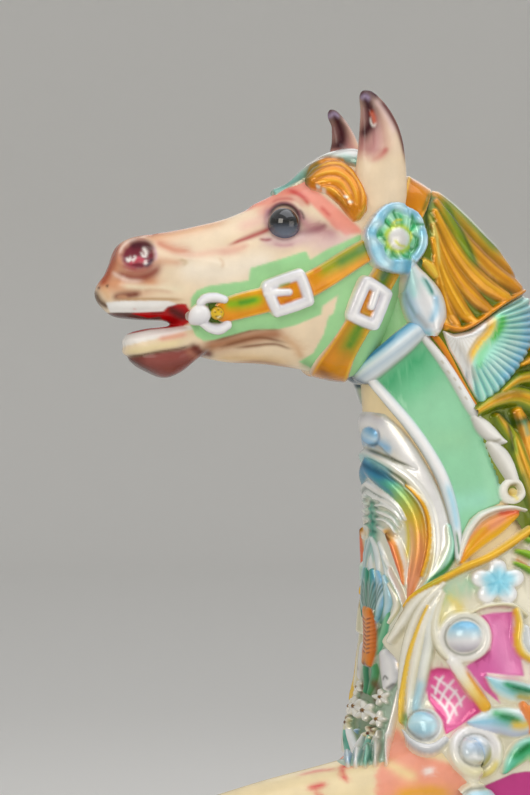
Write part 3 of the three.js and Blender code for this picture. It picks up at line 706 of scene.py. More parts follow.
def carve_mint(skin):
    skin.field([191,298, 197,290.5, 208,286, 230,283, 249,280.5, 250,268.5, 278,260, 306,251, 310,260,
        328,249, 359,235, 400,240, 430,300, 420,330, 351,378, 326,376, 299,361, 313,352, 323,333, 328,316,
        333,313, 338,295, 322,306, 321,314, 295,325, 278,329, 251,330, 230,336, 213,340.5, 204,341, 196,336,
        190,324], "#a6dfa0", soft=1.0)
    skin.washes(
        ("#7fae74", 0.6, 305,363,5, 330,376,6),
        ("#9fd79c", 0.6, 196,326,3, 206,336,3))


# The ears are cupped: maroon at the tips, pink in the hollow, cream at the root.
def carve_ears(skin, points, normals):
    above = np.clip((points[:, 2] - 1.628) / 0.024, 0, 1)
    outward = normals[:, 1] * np.sign(points[:, 1]) * 0.75 - normals[:, 0] * 0.55
    inward = np.where(points[:, 1] > 0, -(normals @ AHEAD), -1)
    skin.share = above
    skin.washes(
        ("#f5d6b8", 0.95, 384,90,26, 384,150,26),
        ("#e9e2b6", 0.95, 382,176,20, 386,208,22),
        ("#c98074", 0.7, 361,112,2.6, 361,140,3.4, 357,165,3.4))
    skin.share = above * np.clip((np.maximum(outward, inward) + 0.1) / 0.35, 0, 1)
    skin.swell([368,108,7, 373,124,10, 375,142,10, 371,156,7], -6.5)
    skin.washes(
        ("#d39a98", 0.95, 368,112,12, 376,134,13, 374,154,11),
        ("#f8e2c8", 0.7, 388,122,4, 396,140,5, 398,158,5),
        ("#a5606a", 0.6, 362,140,8, 366,150,8),
        ("#3c111a", 1.0, 365,97,8, 370,110,11, 370,122,10, 364,132,7),
        # The pale pink band along the hollow is a painted highlight.
        ("#f2d6d0", 0.9, 372,96,2.4, 382,107,3, 391,122,3.4, 396,136,3),
        ("#c9565a", 0.9, 389,146,2.4, 381,156,3.2, 369,163,2.4),
        # The lavender at the tip's front edge is a painted highlight.
        ("#b3a2c4", 0.9, 361,101,2.2, 362.5,96,2.6, 367,96,2.6, 371,101,2))
    skin.share = above
    skin.washes(
        ("#431522", 1.0, 358,93,5, 366,89,5.6, 376,95,4.4),
        ("#5c1c26", 0.95, 374,93,4, 384,104,3.8, 393,118,3.2, 400,134,2.6, 405,156,2.2, 407,186,2))
    skin.share = above * np.clip((outward + 0.1) / 0.35, 0, 1)
    skin.washes(
        ("#c9502a", 0.95, 372,112,2.8, 374,116,3, 375,121,2.6),
        ("#f8f0e8", 1.0, 369.5,115,1, 371,122,1.1, 374,125,1, 377.5,121,0.9))
    skin.share = np.ones(len(points))


def carve_head(points, normals):
    skin = Carving(points, "#f6e1c2")
    right_ear = (points[:, 1] > 0.02) & (points[:, 2] > EAR_FOOT)
    lifted = np.clip((points[:, 2] - EAR_FOOT) / (EAR_CLEAR - EAR_FOOT), 0, 1)
    skin.at = photo_frame(points - RIGHT_EAR_SHIFT * (right_ear * lifted)[:, None])
    carve_muzzle(skin)
    carve_mouth(skin)
    carve_eye_and_brow(skin)
    carve_mint(skin)
    carve_ears(skin, points, normals)
    return skin


# The skin is gloss enamel under thin old varnish: a soft, broad highlight over airbrushed colour.
skin_enamel = enamel("hand_painted_gloss_enamel", coat=0.36)
skull_and_jaw = [lengthwise_form(HEAD_ROWS, HEAD_SQUARENESS, BROW_TAPER, JAW_TAPER),
                 lengthwise_form(JAW_ROWS, HEAD_SQUARENESS)]
head_points, head_faces = fused(skull_and_jaw + [ear_form(-1), ear_form(1)], HEAD_VOXEL, 14)
head_normals = normals_of(head_points, head_faces)
head_carving = carve_head(head_points, head_normals)
head = carved_piece("head_and_ears", head_points, head_faces, head_carving, skin_enamel, head_normals,
    share=0.42)
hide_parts("head", "lower_jaw", "left_ear", "right_ear")
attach(head, "galloper")


# The eyes are balls of black blown glass, bedded in putty from inside the head. The room shows in them as a
# soft sky, and the floor's reflection is painted into their lower half.
EYE_PLACE = (-0.5337, 0.0500, 1.5519)
EYE_RADIUS = 0.0212
SIDES = (("left", -1), ("right", 1))


def ball(centre, radius, rings=24, segments=36):
    points = [(0, 0, radius)]
    for i in range(1, rings):
        tilt = math.pi * i / rings
        points += [(radius * math.sin(tilt) * math.cos(t), radius * math.sin(tilt) * math.sin(t),
                    radius * math.cos(tilt)) for t in np.linspace(0, 2 * math.pi, segments, endpoint=False)]
    points.append((0, 0, -radius))
    faces = [(0, 1 + j, 1 + (j + 1) % segments) for j in range(segments)]
    for i in range(rings - 2):
        a = 1 + i * segments
        faces += [(a + j, a + segments + j, a + segments + (j + 1) % segments, a + (j + 1) % segments)
                  for j in range(segments)]
    last = len(points) - 1
    faces += [(last, last - segments + (j + 1) % segments, last - segments + j) for j in range(segments)]
    return np.array(points) + np.array(centre), faces


# Black blown glass, fire-polished: near black, with sharp reflections. Low down it is painted a little
# lighter, slate blue: a painted reflection of the floor.
eye_glass, tree, shader = new_material("black_blown_glass")
height = add_node(tree, "ShaderNodeSeparateXYZ", {0: add_node(tree, "ShaderNodeTexCoord").outputs["Object"]})
depth = add_node(tree, "ShaderNodeMapRange", {"Value": height.outputs["Z"],
    "From Min": EYE_PLACE[2] - 0.014, "From Max": EYE_PLACE[2] + 0.001})
# The slate blue below the middle is a painted reflection of the floor.
tint = add_node(tree, "ShaderNodeMix", {0: depth.outputs[0], 6: (*linear("#5b6880"), 1),
    7: (*linear("#060607"), 1)}, data_type="RGBA")
tree.links.new(tint.outputs[2], shader.inputs["Base Color"])
shader.inputs["Roughness"].default_value = 0.03
shader.inputs["IOR"].default_value = 1.52
shader.inputs["Coat Weight"].default_value = 1.0
for side, sign in SIDES:
    points, faces = ball((EYE_PLACE[0], sign * EYE_PLACE[1], EYE_PLACE[2]), EYE_RADIUS)
    eye = mesh_object(side + "_glass_eye", points, faces, eye_glass)
    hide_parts(side + "_eye")
    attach(eye, "galloper")


# The bridle and the ornament are moulded in one with the shell and stand on it in relief. A smooth form
# of the whole head and neck, never seen itself, is what each of them is laid out on.
NECK_ROWS = [
    (850, -392, -70, 138), (950, -398, -82, 136), (1010, -394, -90, 130), (1060, -398, -94, 122),
    (1120, -396, -98, 110), (1180, -394, -103, 98), (1250, -400, -112, 88), (1320, -406, -128, 78),
    (1380, -410, -150, 70), (1450, -412, -180, 62), (1510, -410, -216, 56), (1560, -408, -262, 52),
    (1596, -400, -306, 46), (1618, -385, -345, 32),
]
NECK_SQUARENESS = 2.2
NECK_CREST = 0.42
FORM_VOXEL = 2.5
SUNK = -2.5


def upright_form(rows, power, crest):
    across, back = superellipse(power)
    narrowing = 1 - crest * np.maximum(0, back) ** 1.5
    rings = []
    for z, front, rear, half_width in smooth_path(rows, 6):
        x = (front + rear) / 2 + (rear - front) / 2 * back
        rings.append(np.stack([x, half_width * across * narrowing, np.full_like(x, z)], 1))
    return np.vstack(rings) * MM, tube_faces(len(rings), len(across))


neck_form = upright_form(NECK_ROWS, NECK_SQUARENESS, NECK_CREST)
form_points, form_faces = fused(skull_and_jaw + [neck_form], FORM_VOXEL, 14)
form_normals = normals_of(form_points, form_faces)
form = (form_points, form_faces, form_normals)


# A part of a skin, with its faces split in four and rounded, so that carving on it can be finer.
def finer(points, faces, keep, levels):
    chosen = faces[keep[faces].any(axis=1)]
    used, renumbered = np.unique(chosen, return_inverse=True)
    patch = mesh_object("patch", points[used], renumbered.reshape(-1, 4))
    if levels:
        split = patch.modifiers.new("split", "SUBSURF")
        split.levels = levels
    return taken_apart(patch)


def facing(points, normals):
    folded = normals.copy()
    folded[:, 1] *= -np.where(points[:, 1] > 0, 1, -1)
    return -(folded @ AHEAD)


# A piece of relief: the form inside an outline, split finer, sunk just under the skin, then carved. Where
# high relief crosses a hollow, the direction it rises in is calmed, so that the marks don't run together.
def relief_piece(name, form, outline, carve, material, nodes, side=0, levels=1, least_facing=-0.3,
                 extra=None, frame=photo_frame, calm=0, share=0.38):
    points, faces, normals = form
    probe = Carving(points, "#ffffff", frame)
    keep = probe.inside(outline, np.arange(len(points))) > -3
    keep &= facing(points, normals) > least_facing
    if side:
        keep &= points[:, 1] * side > -4 * MM
    if extra is not None:
        keep &= extra
    patch_points, patch_faces = finer(points, faces, keep, levels)
    patch_normals = eased(normals_of(patch_points, patch_faces), patch_faces, calm)
    skin = Carving(patch_points, "#f4e3c8", frame)
    skin.height += SUNK
    carve(skin)
    piece = carved_piece(name, patch_points, patch_faces, skin, material, patch_normals, share=share)
    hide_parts(*nodes)
    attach(piece, "galloper")
    return piece


# Cheek straps run from the bit to the rosette: flat bands with a raised line along each edge, painted
# orange and gold with a green centre, and a white buckle on each.
CHEEK_STRAP = [224,311,11.5, 240,306,13, 268,299,13, 300,289,13, 325,276,12.5, 350,260,12, 378,243,11]
CHEEK_BUCKLE = [(265.5, 286.5), (298.5, 274.5), (307.5, 300.5), (276.5, 311)]
BUCKLE_SILVER = "#e3e2ea #fbfbfc #dedeea"


def beside(path, shift, half_width):
    track = smooth_path(np.reshape(path, (-1, 3)), 3)
    step = np.gradient(track[:, :2], axis=0)
    step /= np.linalg.norm(step, axis=1)[:, None]
    return [(p[0] + step[k, 1] * shift * p[2], p[1] - step[k, 0] * shift * p[2],
        half_width) for k, p in enumerate(track)]


def buckle_path(corners, half_width):
    path = []
    ends = corners[1:] + corners[:1]
    for (a, b), (c, d) in zip(corners, ends):
        path += [(a + (c - a) * s, b + (d - b) * s, half_width) for s in (0.1, 0.9)]
    return path + [path[0]]


def strap_band(skin, path, rise, colours):
    skin.strand(path, rise, colours, power=0.16)
    for shift, colour in ((0.8, "#ffcf45"), (-0.8, "#f6b429")):
        line = beside(path, shift, 1.3)
        skin.swell(line, 1.1)
        skin.wash(line, colour, 0.75)


def carve_cheek_strap(skin):
    strap_band(skin, CHEEK_STRAP, 6, "#ec8e06 #f29c08 #f2a00a #ee9606 #e07e02")
    skin.washes(
        ("#8fc41c", 0.95, 222,303,4, 234,303.5,6, 250,301,6.4, 266,297,4.5),
        ("#3f9a2c", 0.75, 236,303,2.4, 246,301.5,2.8, 258,298.5,2.2),
        ("#f8a81a", 0.8, 236,296.6,1.4, 250,294,1.6, 264,291,1.4),
        ("#a8b020", 0.95, 312,276,5, 330,266,8, 350,256,9, 372,243,8),
        ("#4d8a24", 0.9, 330,268,4, 346,258,5.4, 362,249,5, 374,242,4),
        ("#6f9a5a", 0.7, 358,250,3, 366,246,4, 374,242,3),
        ("#e87f0c", 0.8, 314,271,2.6, 318,270,2.6),
        ("#f6a91c", 0.85, 320,286,1.8, 345,272,2, 366,259,2))
    skin.strand(buckle_path(CHEEK_BUCKLE, 6.0), 7.5, BUCKLE_SILVER, base=5, power=0.4)
    skin.strand([266,293.5,4.2, 278,292.5,4.2, 288,292,3.8], 6.5, "#f4f4f7 #ffffff #d6d4e4", base=6,
        power=0.4)
    skin.washes(
        ("#9fb82a", 0.8, 276,287,1.6, 290,283,1.6),
        ("#d06f0c", 0.7, 282,302,1.4, 292,299,1.6))


# Orange and gold enamel with some bronze powder in it: a warm gloss with a slight metal glint.
gold_enamel = enamel("orange_gold_enamel", roughness=0.22, metallic=0.12, grain_mm=4.0, streak=0.1)
for side, sign in SIDES:
    relief_piece(side + "_cheek_strap_and_buckle", form, [214,292, 250,284, 262,280, 300,264, 366,228,
        386,250, 316,312, 276,322, 218,328], carve_cheek_strap, gold_enamel, [side + "_cheek_strap"],
        sign, least_facing=0.2, share=0.6)


# The bit ends in a white knot at the corner of the mouth: a round knob between two loops, with a gilt stud.
# It is moulded with the lips and enamelled by hand.
def carve_bit_end(skin):
    white = "#dcdcea #fbfbfd #e4e3ec"
    skin.field([208,303, 222,301, 226,312, 222,323, 208,322], "#56730f", rise=5, bevel=2)
    skin.strands(
        (9, white, 201,302,4.6, 206,298.5,5.2, 215,297.5,5.2, 224,299.5,4.4),
        (9, white, 204,322,4.4, 210,326.5,5.2, 219,328,5.6, 227,324,5),
        base=3, power=0.7)
    skin.strand([190,316,5, 192,317,5], 4, "#a98f86 #cdb9b0", base=0)
    skin.strand([199.5,314,10.4, 200.5,314,10.4], 12, "#ffffff #f3f3f7 #d9d9e4", base=4)
    skin.strand([216.5,312.6,6.8, 217,312.6,6.8], 6, "#d9a414 #f2cc2e #c9920f", base=5)
    for across, down in ((214, 311), (217, 315), (220, 311), (219, 316), (215, 315), (217, 309)):
        skin.wash([(across, down, 0.8), (across + 0.5, down, 0.8)], "#7a5c0a", 0.9)
    # The pale spot on the gilt stud is a painted glint.
    skin.wash([217,316,0.9, 219,315,0.9], "#fbf3c0", 0.9)


# White gloss enamel, rubbed down and coated twice: even, with a clean hard highlight.
white_enamel = enamel("white_gloss_enamel", roughness=0.2, grain_mm=4.0, streak=0.03)
for side, sign in SIDES:
    relief_piece(side + "_bit_knot", form, [184,300, 200,288, 232,288, 238,318, 232,337, 200,334, 184,322],
        carve_bit_end, white_enamel, [side + "_bit_end"], sign, 2, 0.2, share=0.4)


# The throat strap goes under the jaw behind the cheek, in the same gold and green, with its own buckles.
# Like all the harness it is moulded on the shell, so nothing fixes it.
THROAT_STRAP = [396,254,12, 384,275,12.5, 371,297,13.5, 357,324,13.5, 342,349,15, 330,372,19, 322,396,20]
THROAT_BUCKLE = [(364, 281), (382.5, 293.5), (370.5, 323.5), (350, 314.5)]


def carve_throat_strap(skin):
    strap_band(skin, THROAT_STRAP, 6, "#d08408 #e8980a #e0920a #d88a08 #b87004")
    skin.washes(
        ("#4f8a1e", 0.95, 392,258,5, 385,270,8, 379,284,7),
        ("#17562a", 0.85, 388,262,3, 384,270,4.4, 380,278,3),
        ("#8aa816", 0.95, 362,318,5, 354,332,8, 347,346,8),
        ("#4f8a14", 0.85, 358,326,3.4, 353,335,5, 348,344,3.4),
        ("#c98a10", 0.7, 346,350,4, 338,364,5),
        ("#8a5410", 0.8, 322,368,4, 334,378,6, 346,382,6))
    skin.strand(buckle_path(THROAT_BUCKLE, 6.2), 7.5, BUCKLE_SILVER, base=5, power=0.4)
    skin.strand([374.5,287,4, 371,297,4.2, 368,306,3.8], 6.5, "#d6d4e4 #ffffff #f4f4f7", base=6, power=0.4)


relief_piece("throat_strap_and_buckles", form, [408,240, 418,262, 404,292, 384,334, 362,370, 356,404,
    300,404, 296,362, 336,322, 342,300, 380,256], carve_throat_strap, gold_enamel, ["throat_strap"],
    0, least_facing=-0.9, extra=form_points[:, 2] > 1.325, share=0.3)


# The crown strap crosses behind the ears, and the forelock lies in waves under a rolled brow band. Both are
# carved in the pattern, moulded with the head and gilt.
def carve_crown_strap(skin):
    strap_band(skin, [400,232,14, 411,212,13.5, 416,196,13.5, 420,172,14, 424,150,14], 6,
        "#a86a06 #d88206 #dc8806 #e29008 #da8a06")
    skin.washes(
        ("#5d6a10", 0.8, 427,194,1.6, 424,204,1.8, 421,214,1.6),
        ("#f6e04a", 0.95, 408,178,1.6, 418,182,1.8, 428,189,1.6))


relief_piece("gilt_crown_strap", form, [384,150, 440,140, 440,200, 424,232, 400,240, 388,206],
    carve_crown_strap, gold_enamel, ["crown_strap"], 0, least_facing=-1.1,
    extra=(form_points[:, 2] > 1.53) & (form_points[:, 0] > -0.40), share=0.3)


def carve_forelock(skin):
    skin.strand([276,195,2.4, 290,185,4, 306,175,5.4, 323,164,6.6, 341,158,7.4, 356,160,7.4, 364,170,5.4],
        11, "#8f9a94 #f2f4f2 #dfe8e4 #8fc4b6 #5f9486", base=0, power=0.7)
    skin.washes(
        ("#1f8a74", 0.9, 284,190,1.8, 296,181,2, 306,174,1.6),
        ("#3fb09a", 0.85, 308,172,2.2, 318,165,2.6, 328,160,2.2),
        ("#f0efec", 0.9, 332,161,3, 346,157,4.4, 358,162,4),
        ("#8a877e", 0.75, 342,153,1.6, 354,154,2, 362,160,1.8))
    lock = [305,184, 314,172, 328,164, 343,163, 353,172, 362,187, 367,200, 367,211, 360,220, 353,222.5,
        348,217, 339,205, 326,194, 311,190]
    skin.field(lock, "#d98406", rise=9, bevel=9, base=1)
    for path in ([308,182,3, 320,172,4.4, 335,168,4.6, 348,173,4.6, 357,185,4.6, 362,199,4.2, 360,213,3],
            [312,185,2.6, 324,178,4, 337,176,4.2, 348,184,4.2, 354,197,3.8, 355,212,2.6],
            [316,188,2, 328,184.5,3.4, 339,186,3.6, 346,196,3.4, 350,208,2.6],
            [322,191,1.8, 332,193,3, 340,201,3, 346,211,2]):
        skin.swell(path, 2.2)
        skin.wash(path, "#ee980c", 0.7)
        skin.wash(beside(path, -0.35, 0.9), "#f6c03c", 0.75)
        skin.swell(beside(path, 1.05, 1.0), -1.2)
        skin.wash(beside(path, 1.05, 1.1), "#a45c04", 0.6)
    skin.washes(
        ("#5d6a14", 0.8, 306,186,4, 312,178,4.4, 320,171,3),
        ("#8a6a14", 0.5, 340,165,2.4, 350,168,2.4),
        ("#c9a92a", 0.7, 363,206,2.4, 360,216,3, 354,221,2.6),
        ("#b56d0c", 0.6, 336,200,3, 346,212,3))
    for across, down in ((318, 190), (323, 192.5), (343, 200), (347, 205)):
        skin.wash([(across, down, 1.1), (across + 2, down + 0.8, 1.0)], "#eef2e6", 0.95)


# Gold leaf on carved hair, glazed and varnished: it glints on the ridges and stays warm in the hollows.
gold_hair = enamel("carved_gilt_hair", roughness=0.26, metallic=0.25, grain_mm=3.0, grain_depth=0.3,
    streak=0.12)
relief_piece("brow_roll_and_forelock", form, [274,186, 300,166, 330,148, 362,146, 374,190, 370,222, 352,230,
    300,196, 276,198], carve_forelock, gold_hair, ["forelock"], 0, least_facing=-1.1,
    extra=(form_points[:, 2] > 1.55) & (form_points[:, 0] < -0.405), share=0.5)


# Rosettes of folded ribbon, cast with the shell and tinted over silver, carry a drop-shaped tassel.
ROSETTE = (394.0, 239.5)
TASSEL = [408,262,6, 411,274,10.5, 416,288,17, 422,303,21.5, 427,317,19, 431,330,9]


# The ribbon's folds follow the angle round the middle: a ruffled rim, radial folds inside it and a knob.
def carve_ruffled_ribbon(skin):
    chosen = skin.near([(*ROSETTE, 37.0)], 1)
    offset = (skin.at[chosen] - ROSETTE) * (1.06, 0.97)
    reach = np.hypot(offset[:, 0], offset[:, 1])
    turn = np.arctan2(offset[:, 1], offset[:, 0])
    ruffle = np.sin(7 * turn + 1.3 * np.sin(2 * turn)) + 0.6 * np.sin(12 * turn + 2)
    edge = 34.0 + 0.7 * np.sin(6 * turn + 0.5)
    breadth = 10.5 - 3.5 * np.sin(-turn + 0.7) + 1.6 * np.sin(5 * turn + 1.0)
    inner = edge - breadth
    rim = np.clip(1 - ((reach - (edge - breadth / 2)) / (breadth / 2 + 1.2)) ** 2, 0, 1) ** 0.5
    folds = np.sin(8 * turn + 0.16 * reach + 1.1 * np.sin(3 * turn)) + 0.5 * np.sin(15 * turn + 0.3 * reach)
    within = np.clip((inner - reach) / 3, 0, 1)
    lifted = 9.0 + rim * (6 + 0.7 * ruffle) + within * folds * np.clip((reach - 8) / 6, 0, 1)
    knob = np.clip(1 - (reach / 12.0) ** 2, 0, 1)
    lifted = np.where(reach < 12, np.maximum(lifted, 9 + 4 * knob), lifted)
    covered = reach < edge
    skin.height[chosen] = np.where(covered, np.maximum(skin.height[chosen], lifted), skin.height[chosen])
    cover = np.clip(edge - reach + 0.5, 0, 1)[:, None]
    swing = np.clip(0.5 + 0.4 * ruffle, 0, 1)[:, None]
    colour = linear("#8fd2ee") * (1 - swing) + linear("#c6ecf8") * swing
    outside = np.clip((reach - edge + 3.5) / 2.5, 0, 1)[:, None] * 0.6
    colour = colour * (1 - outside) + linear("#c9c9d4") * outside
    shade = np.clip(0.5 + 0.45 * folds, 0, 1)[:, None]
    mint = linear("#3fbf78") * (1 - shade) ** 2 + linear("#b4f0d0") * (1 - (1 - shade) ** 2)
    share = within[:, None]
    colour = colour * (1 - share) + mint * share
    for outer, soft, tone in ((16.5, 4.5, "#c6e23c"), (12.5, 3.0, "#eef2b0"), (11.0, 2.5, "#f7f5f2")):
        share = np.clip((outer - reach) / soft, 0, 1)[:, None]
        colour = colour * (1 - share) + linear(tone) * share
    skin.paint[chosen] = skin.paint[chosen] * (1 - cover) + colour * cover


def carve_rosette(skin):
    skin.strand(TASSEL, 26, "#cfeef0 #f7f9fb #fdfdfd #eef2f6 #a9d2ea #c9cede", base=0, power=0.55)
    skin.washes(
        ("#a6e4e2", 0.75, 408,272,5, 410,284,6, 412,296,4),
        ("#8fd8d0", 0.75, 418,278,3, 424,288,3.4, 430,300,2.6),
        ("#1f8a7c", 0.9, 421,279,1.3, 426,288,1.5, 430,298,1.2))
    skin.swell([421,279,1.4, 426,288,1.6, 430,299,1.4], -2.2)
    skin.washes(
        ("#a2d4ee", 0.85, 432,300,3, 432,312,4, 428,322,3),
        ("#a8a4a0", 0.6, 416,318,3, 424,328,3),
        ("#7f9a98", 0.7, 405,292,1.4, 408,304,1.6, 416,320,1.4))
    carve_ruffled_ribbon(skin)
    for stroke in ([389,211,1.0, 391,216,1.5, 394,222,1.1], [409,214,1.1, 411,220,1.7, 410,227,1.2],
            [412,224,1.0, 419,226,1.5, 422,225,1.0], [376,230,1.4, 379,238,2, 384,242,1.4],
            [388,249,1.4, 391,256,1.8, 395,259,1.2], [406,248,1.8, 412,250,2.4, 416,246,1.6],
            [412,236,1.6, 416,240,2.2, 415,246,1.6], [380,220,1.2, 384,226,1.6, 388,229,1]):
        skin.wash(stroke, "#1d9048", 0.9)
        skin.swell(stroke, -1.4)
    skin.washes(
        ("#dfe22c", 0.85, 388,226,1.6, 392,222,1.4, 400,221,1.4),
        ("#dfe22c", 0.85, 408,230,1.4, 410,238,1.6, 406,246,1.4),
        ("#dfe22c", 0.85, 388,240,1.2, 394,246,1.4, 402,247,1.4))


# Silver leaf tinted with clear colours: the metal gives a cool, broad sheen under the tint.
silver_tint = enamel("tinted_silver_leaf", roughness=0.3, metallic=0.35, grain_mm=3.0, grain_depth=0.3)
for side, sign in SIDES:
    relief_piece(side + "_rosette_and_tassel", form, [360,204, 397,200, 434,210, 440,262, 452,300, 444,334,
        424,334, 398,306, 400,274, 366,266], carve_rosette, silver_tint, [side + "_rosette"],
        sign, 1, 0.05, extra=form_points[:, 2] > 1.35, share=0.6)


# The chest form takes in the neck, the barrel and the forelegs, so that the ornament flows over all three.
# Like the head's form it is never seen itself.
BODY_ROWS = [
    (-412, 900, 800, 42), (-396, 945, 764, 78), (-360, 998, 722, 114), (-302, 1034, 690, 142),
    (-230, 1040, 672, 156), (-130, 1015, 665, 160), (-20, 985, 668, 160), (100, 985, 680, 159),
    (210, 1008, 700, 160), (300, 1006, 718, 154), (375, 978, 748, 132), (430, 932, 790, 94),
    (457, 892, 828, 46),
]
LEFT_FORELEG = [
    (-310, 842, 82), (-400, 820, 64), (-470, 811, 57), (-560, 803, 48), (-640, 790, 42), (-694, 770, 43),
    (-716, 734, 38), (-700, 675, 27), (-678, 622, 25), (-666, 590, 31), (-674, 560, 26), (-686, 536, 31),
]
RIGHT_FORELEG = [
    (-300, 822, 78), (-392, 768, 60), (-462, 734, 53), (-532, 701, 46), (-590, 668, 42), (-624, 634, 43),
    (-629, 594, 36), (-606, 540, 27), (-584, 492, 25), (-573, 462, 31), (-582, 432, 26), (-594, 408, 31),
]
BODY_SQUARENESS = 2.2
LEG_INSET = 86.0
LEG_SPLAY = 16.0
CHEST_VOXEL = 3.0


def limb_form(stations, side, inset):
    path = smooth_path(stations, 6)
    centres = np.stack([path[:, 0], np.zeros(len(path)), path[:, 1]], 1)
    step = np.gradient(centres, axis=0)
    step /= np.linalg.norm(step, axis=1)[:, None]
    run = np.concatenate([[0], np.cumsum(np.linalg.norm(np.diff(centres, axis=0), axis=1))])
    centres[:, 1] = side * (inset + LEG_SPLAY * run / run[-1])
    out = np.cross(step, (0.0, 1.0, 0.0))
    across, up = superellipse(2.0, 40)
    rings = [c + r * (np.outer(up, o) + np.outer(across, (0, 1, 0)))
             for c, o, r in zip(centres, out, path[:, 2])]
    return np.vstack(rings) * MM, tube_faces(len(rings), len(across))


barrel = lengthwise_form(BODY_ROWS, BODY_SQUARENESS)
upper_legs = [limb_form(LEFT_FORELEG[:5], -1, LEG_INSET), limb_form(RIGHT_FORELEG[:5], 1, LEG_INSET)]
neck_and_chest = fused([neck_form, barrel] + upper_legs, CHEST_VOXEL, 90)
chest = (*neck_and_chest, normals_of(*neck_and_chest))


# The mane is carved in long locks that spring from behind the crown strap and sweep down and back over
# the neck. It is gilt over green, and the green is left in the hollows between the locks.
MANE_OUTLINE = [404,150, 430,168, 452,184, 484,206, 520,240, 564,280, 606,330, 660,410, 664,630, 600,612,
    552,574, 512,510, 486,440, 472,395, 436,350, 430,300, 424,262, 422,190]
OLIVE = "#4f6a0a #9a9a12 #e09a0c #7c7a0c"
GILT = "#94740a #eaa010 #f9b81e #e4940c #7a640a"
BROWN_GILT = "#6f5a06 #dc9008 #f0a20c #c47e06 #5a5206"
GREEN_GILT = "#4a7f10 #b0ac1a #efaa18 #96a012 #3c6a0e"
MANE_LOCKS = [
    (19, OLIVE, 432,190,3, 450,201,5, 468,215,6, 490,236,7, 514,260,7.5, 540,290,8, 572,334,9, 600,384,8),
    (21, GILT, 432,196,3, 447,209,5, 463,226,6.5, 482,246,7.5, 502,267,8, 526,294,8.5, 556,334,9,
     588,396,9),
    (19, BROWN_GILT, 433,204,2.5, 444,219,4, 456,237,6, 471,255,7, 490,275,7.5, 510,291,6.5),
    (21, GILT, 432,213,2.5, 441,231,4, 451,250,6, 464,269,7, 481,287,7.5, 498,299,6),
    (19, BROWN_GILT, 431,226,2.5, 438,244,4, 446,263,6, 457,282,7, 471,299,7, 484,311,5),
    (20, GILT, 431,240,2.5, 436,258,4, 442,277,6, 451,296,7, 461,313,6.5, 469,322,5),
    (19, BROWN_GILT, 433,258,2.5, 437,276,4, 441,294,5.5, 446,311,6, 453,325,5),
    (17, GILT, 438,288,3, 439,302,4.4, 441,315,4.6, 444,327,4),
    (18, GREEN_GILT, 472,414,4, 492,402,7, 512,398,9, 532,408,10, 552,430,11, 574,470,11, 596,530,10),
    (17, GILT, 512,414,5, 522,436,8, 530,462,10, 544,492,11, 562,524,11, 588,574,9),
    (16, GREEN_GILT, 494,418,4, 508,440,6, 518,466,7, 530,496,8, 546,528,8, 566,560,7),
    (14, GILT, 507,440,2, 513,462,2.8, 520,484,3.2, 527,504,3.2, 534,520,2.6),
    (17, GREEN_GILT, 498,392,2.4, 512,382,5, 528,380,7, 546,388,9, 566,408,10, 588,446,10),
    (18, GILT, 516,366,2.4, 530,360,5, 546,364,8, 562,378,9, 584,404,10),
    (17, BROWN_GILT, 524,350,2, 534,342,4, 546,342,6, 560,352,7),
    (19, GILT, 552,330,7, 580,370,10, 604,420,11, 618,480,11, 620,560,9),
    (18, GREEN_GILT, 540,350,8, 562,390,10, 584,440,11, 602,500,11, 612,580,9),
    (20, BROWN_GILT, 600,340,8, 626,400,10, 640,480,11, 644,560,9, 640,606,5),
]


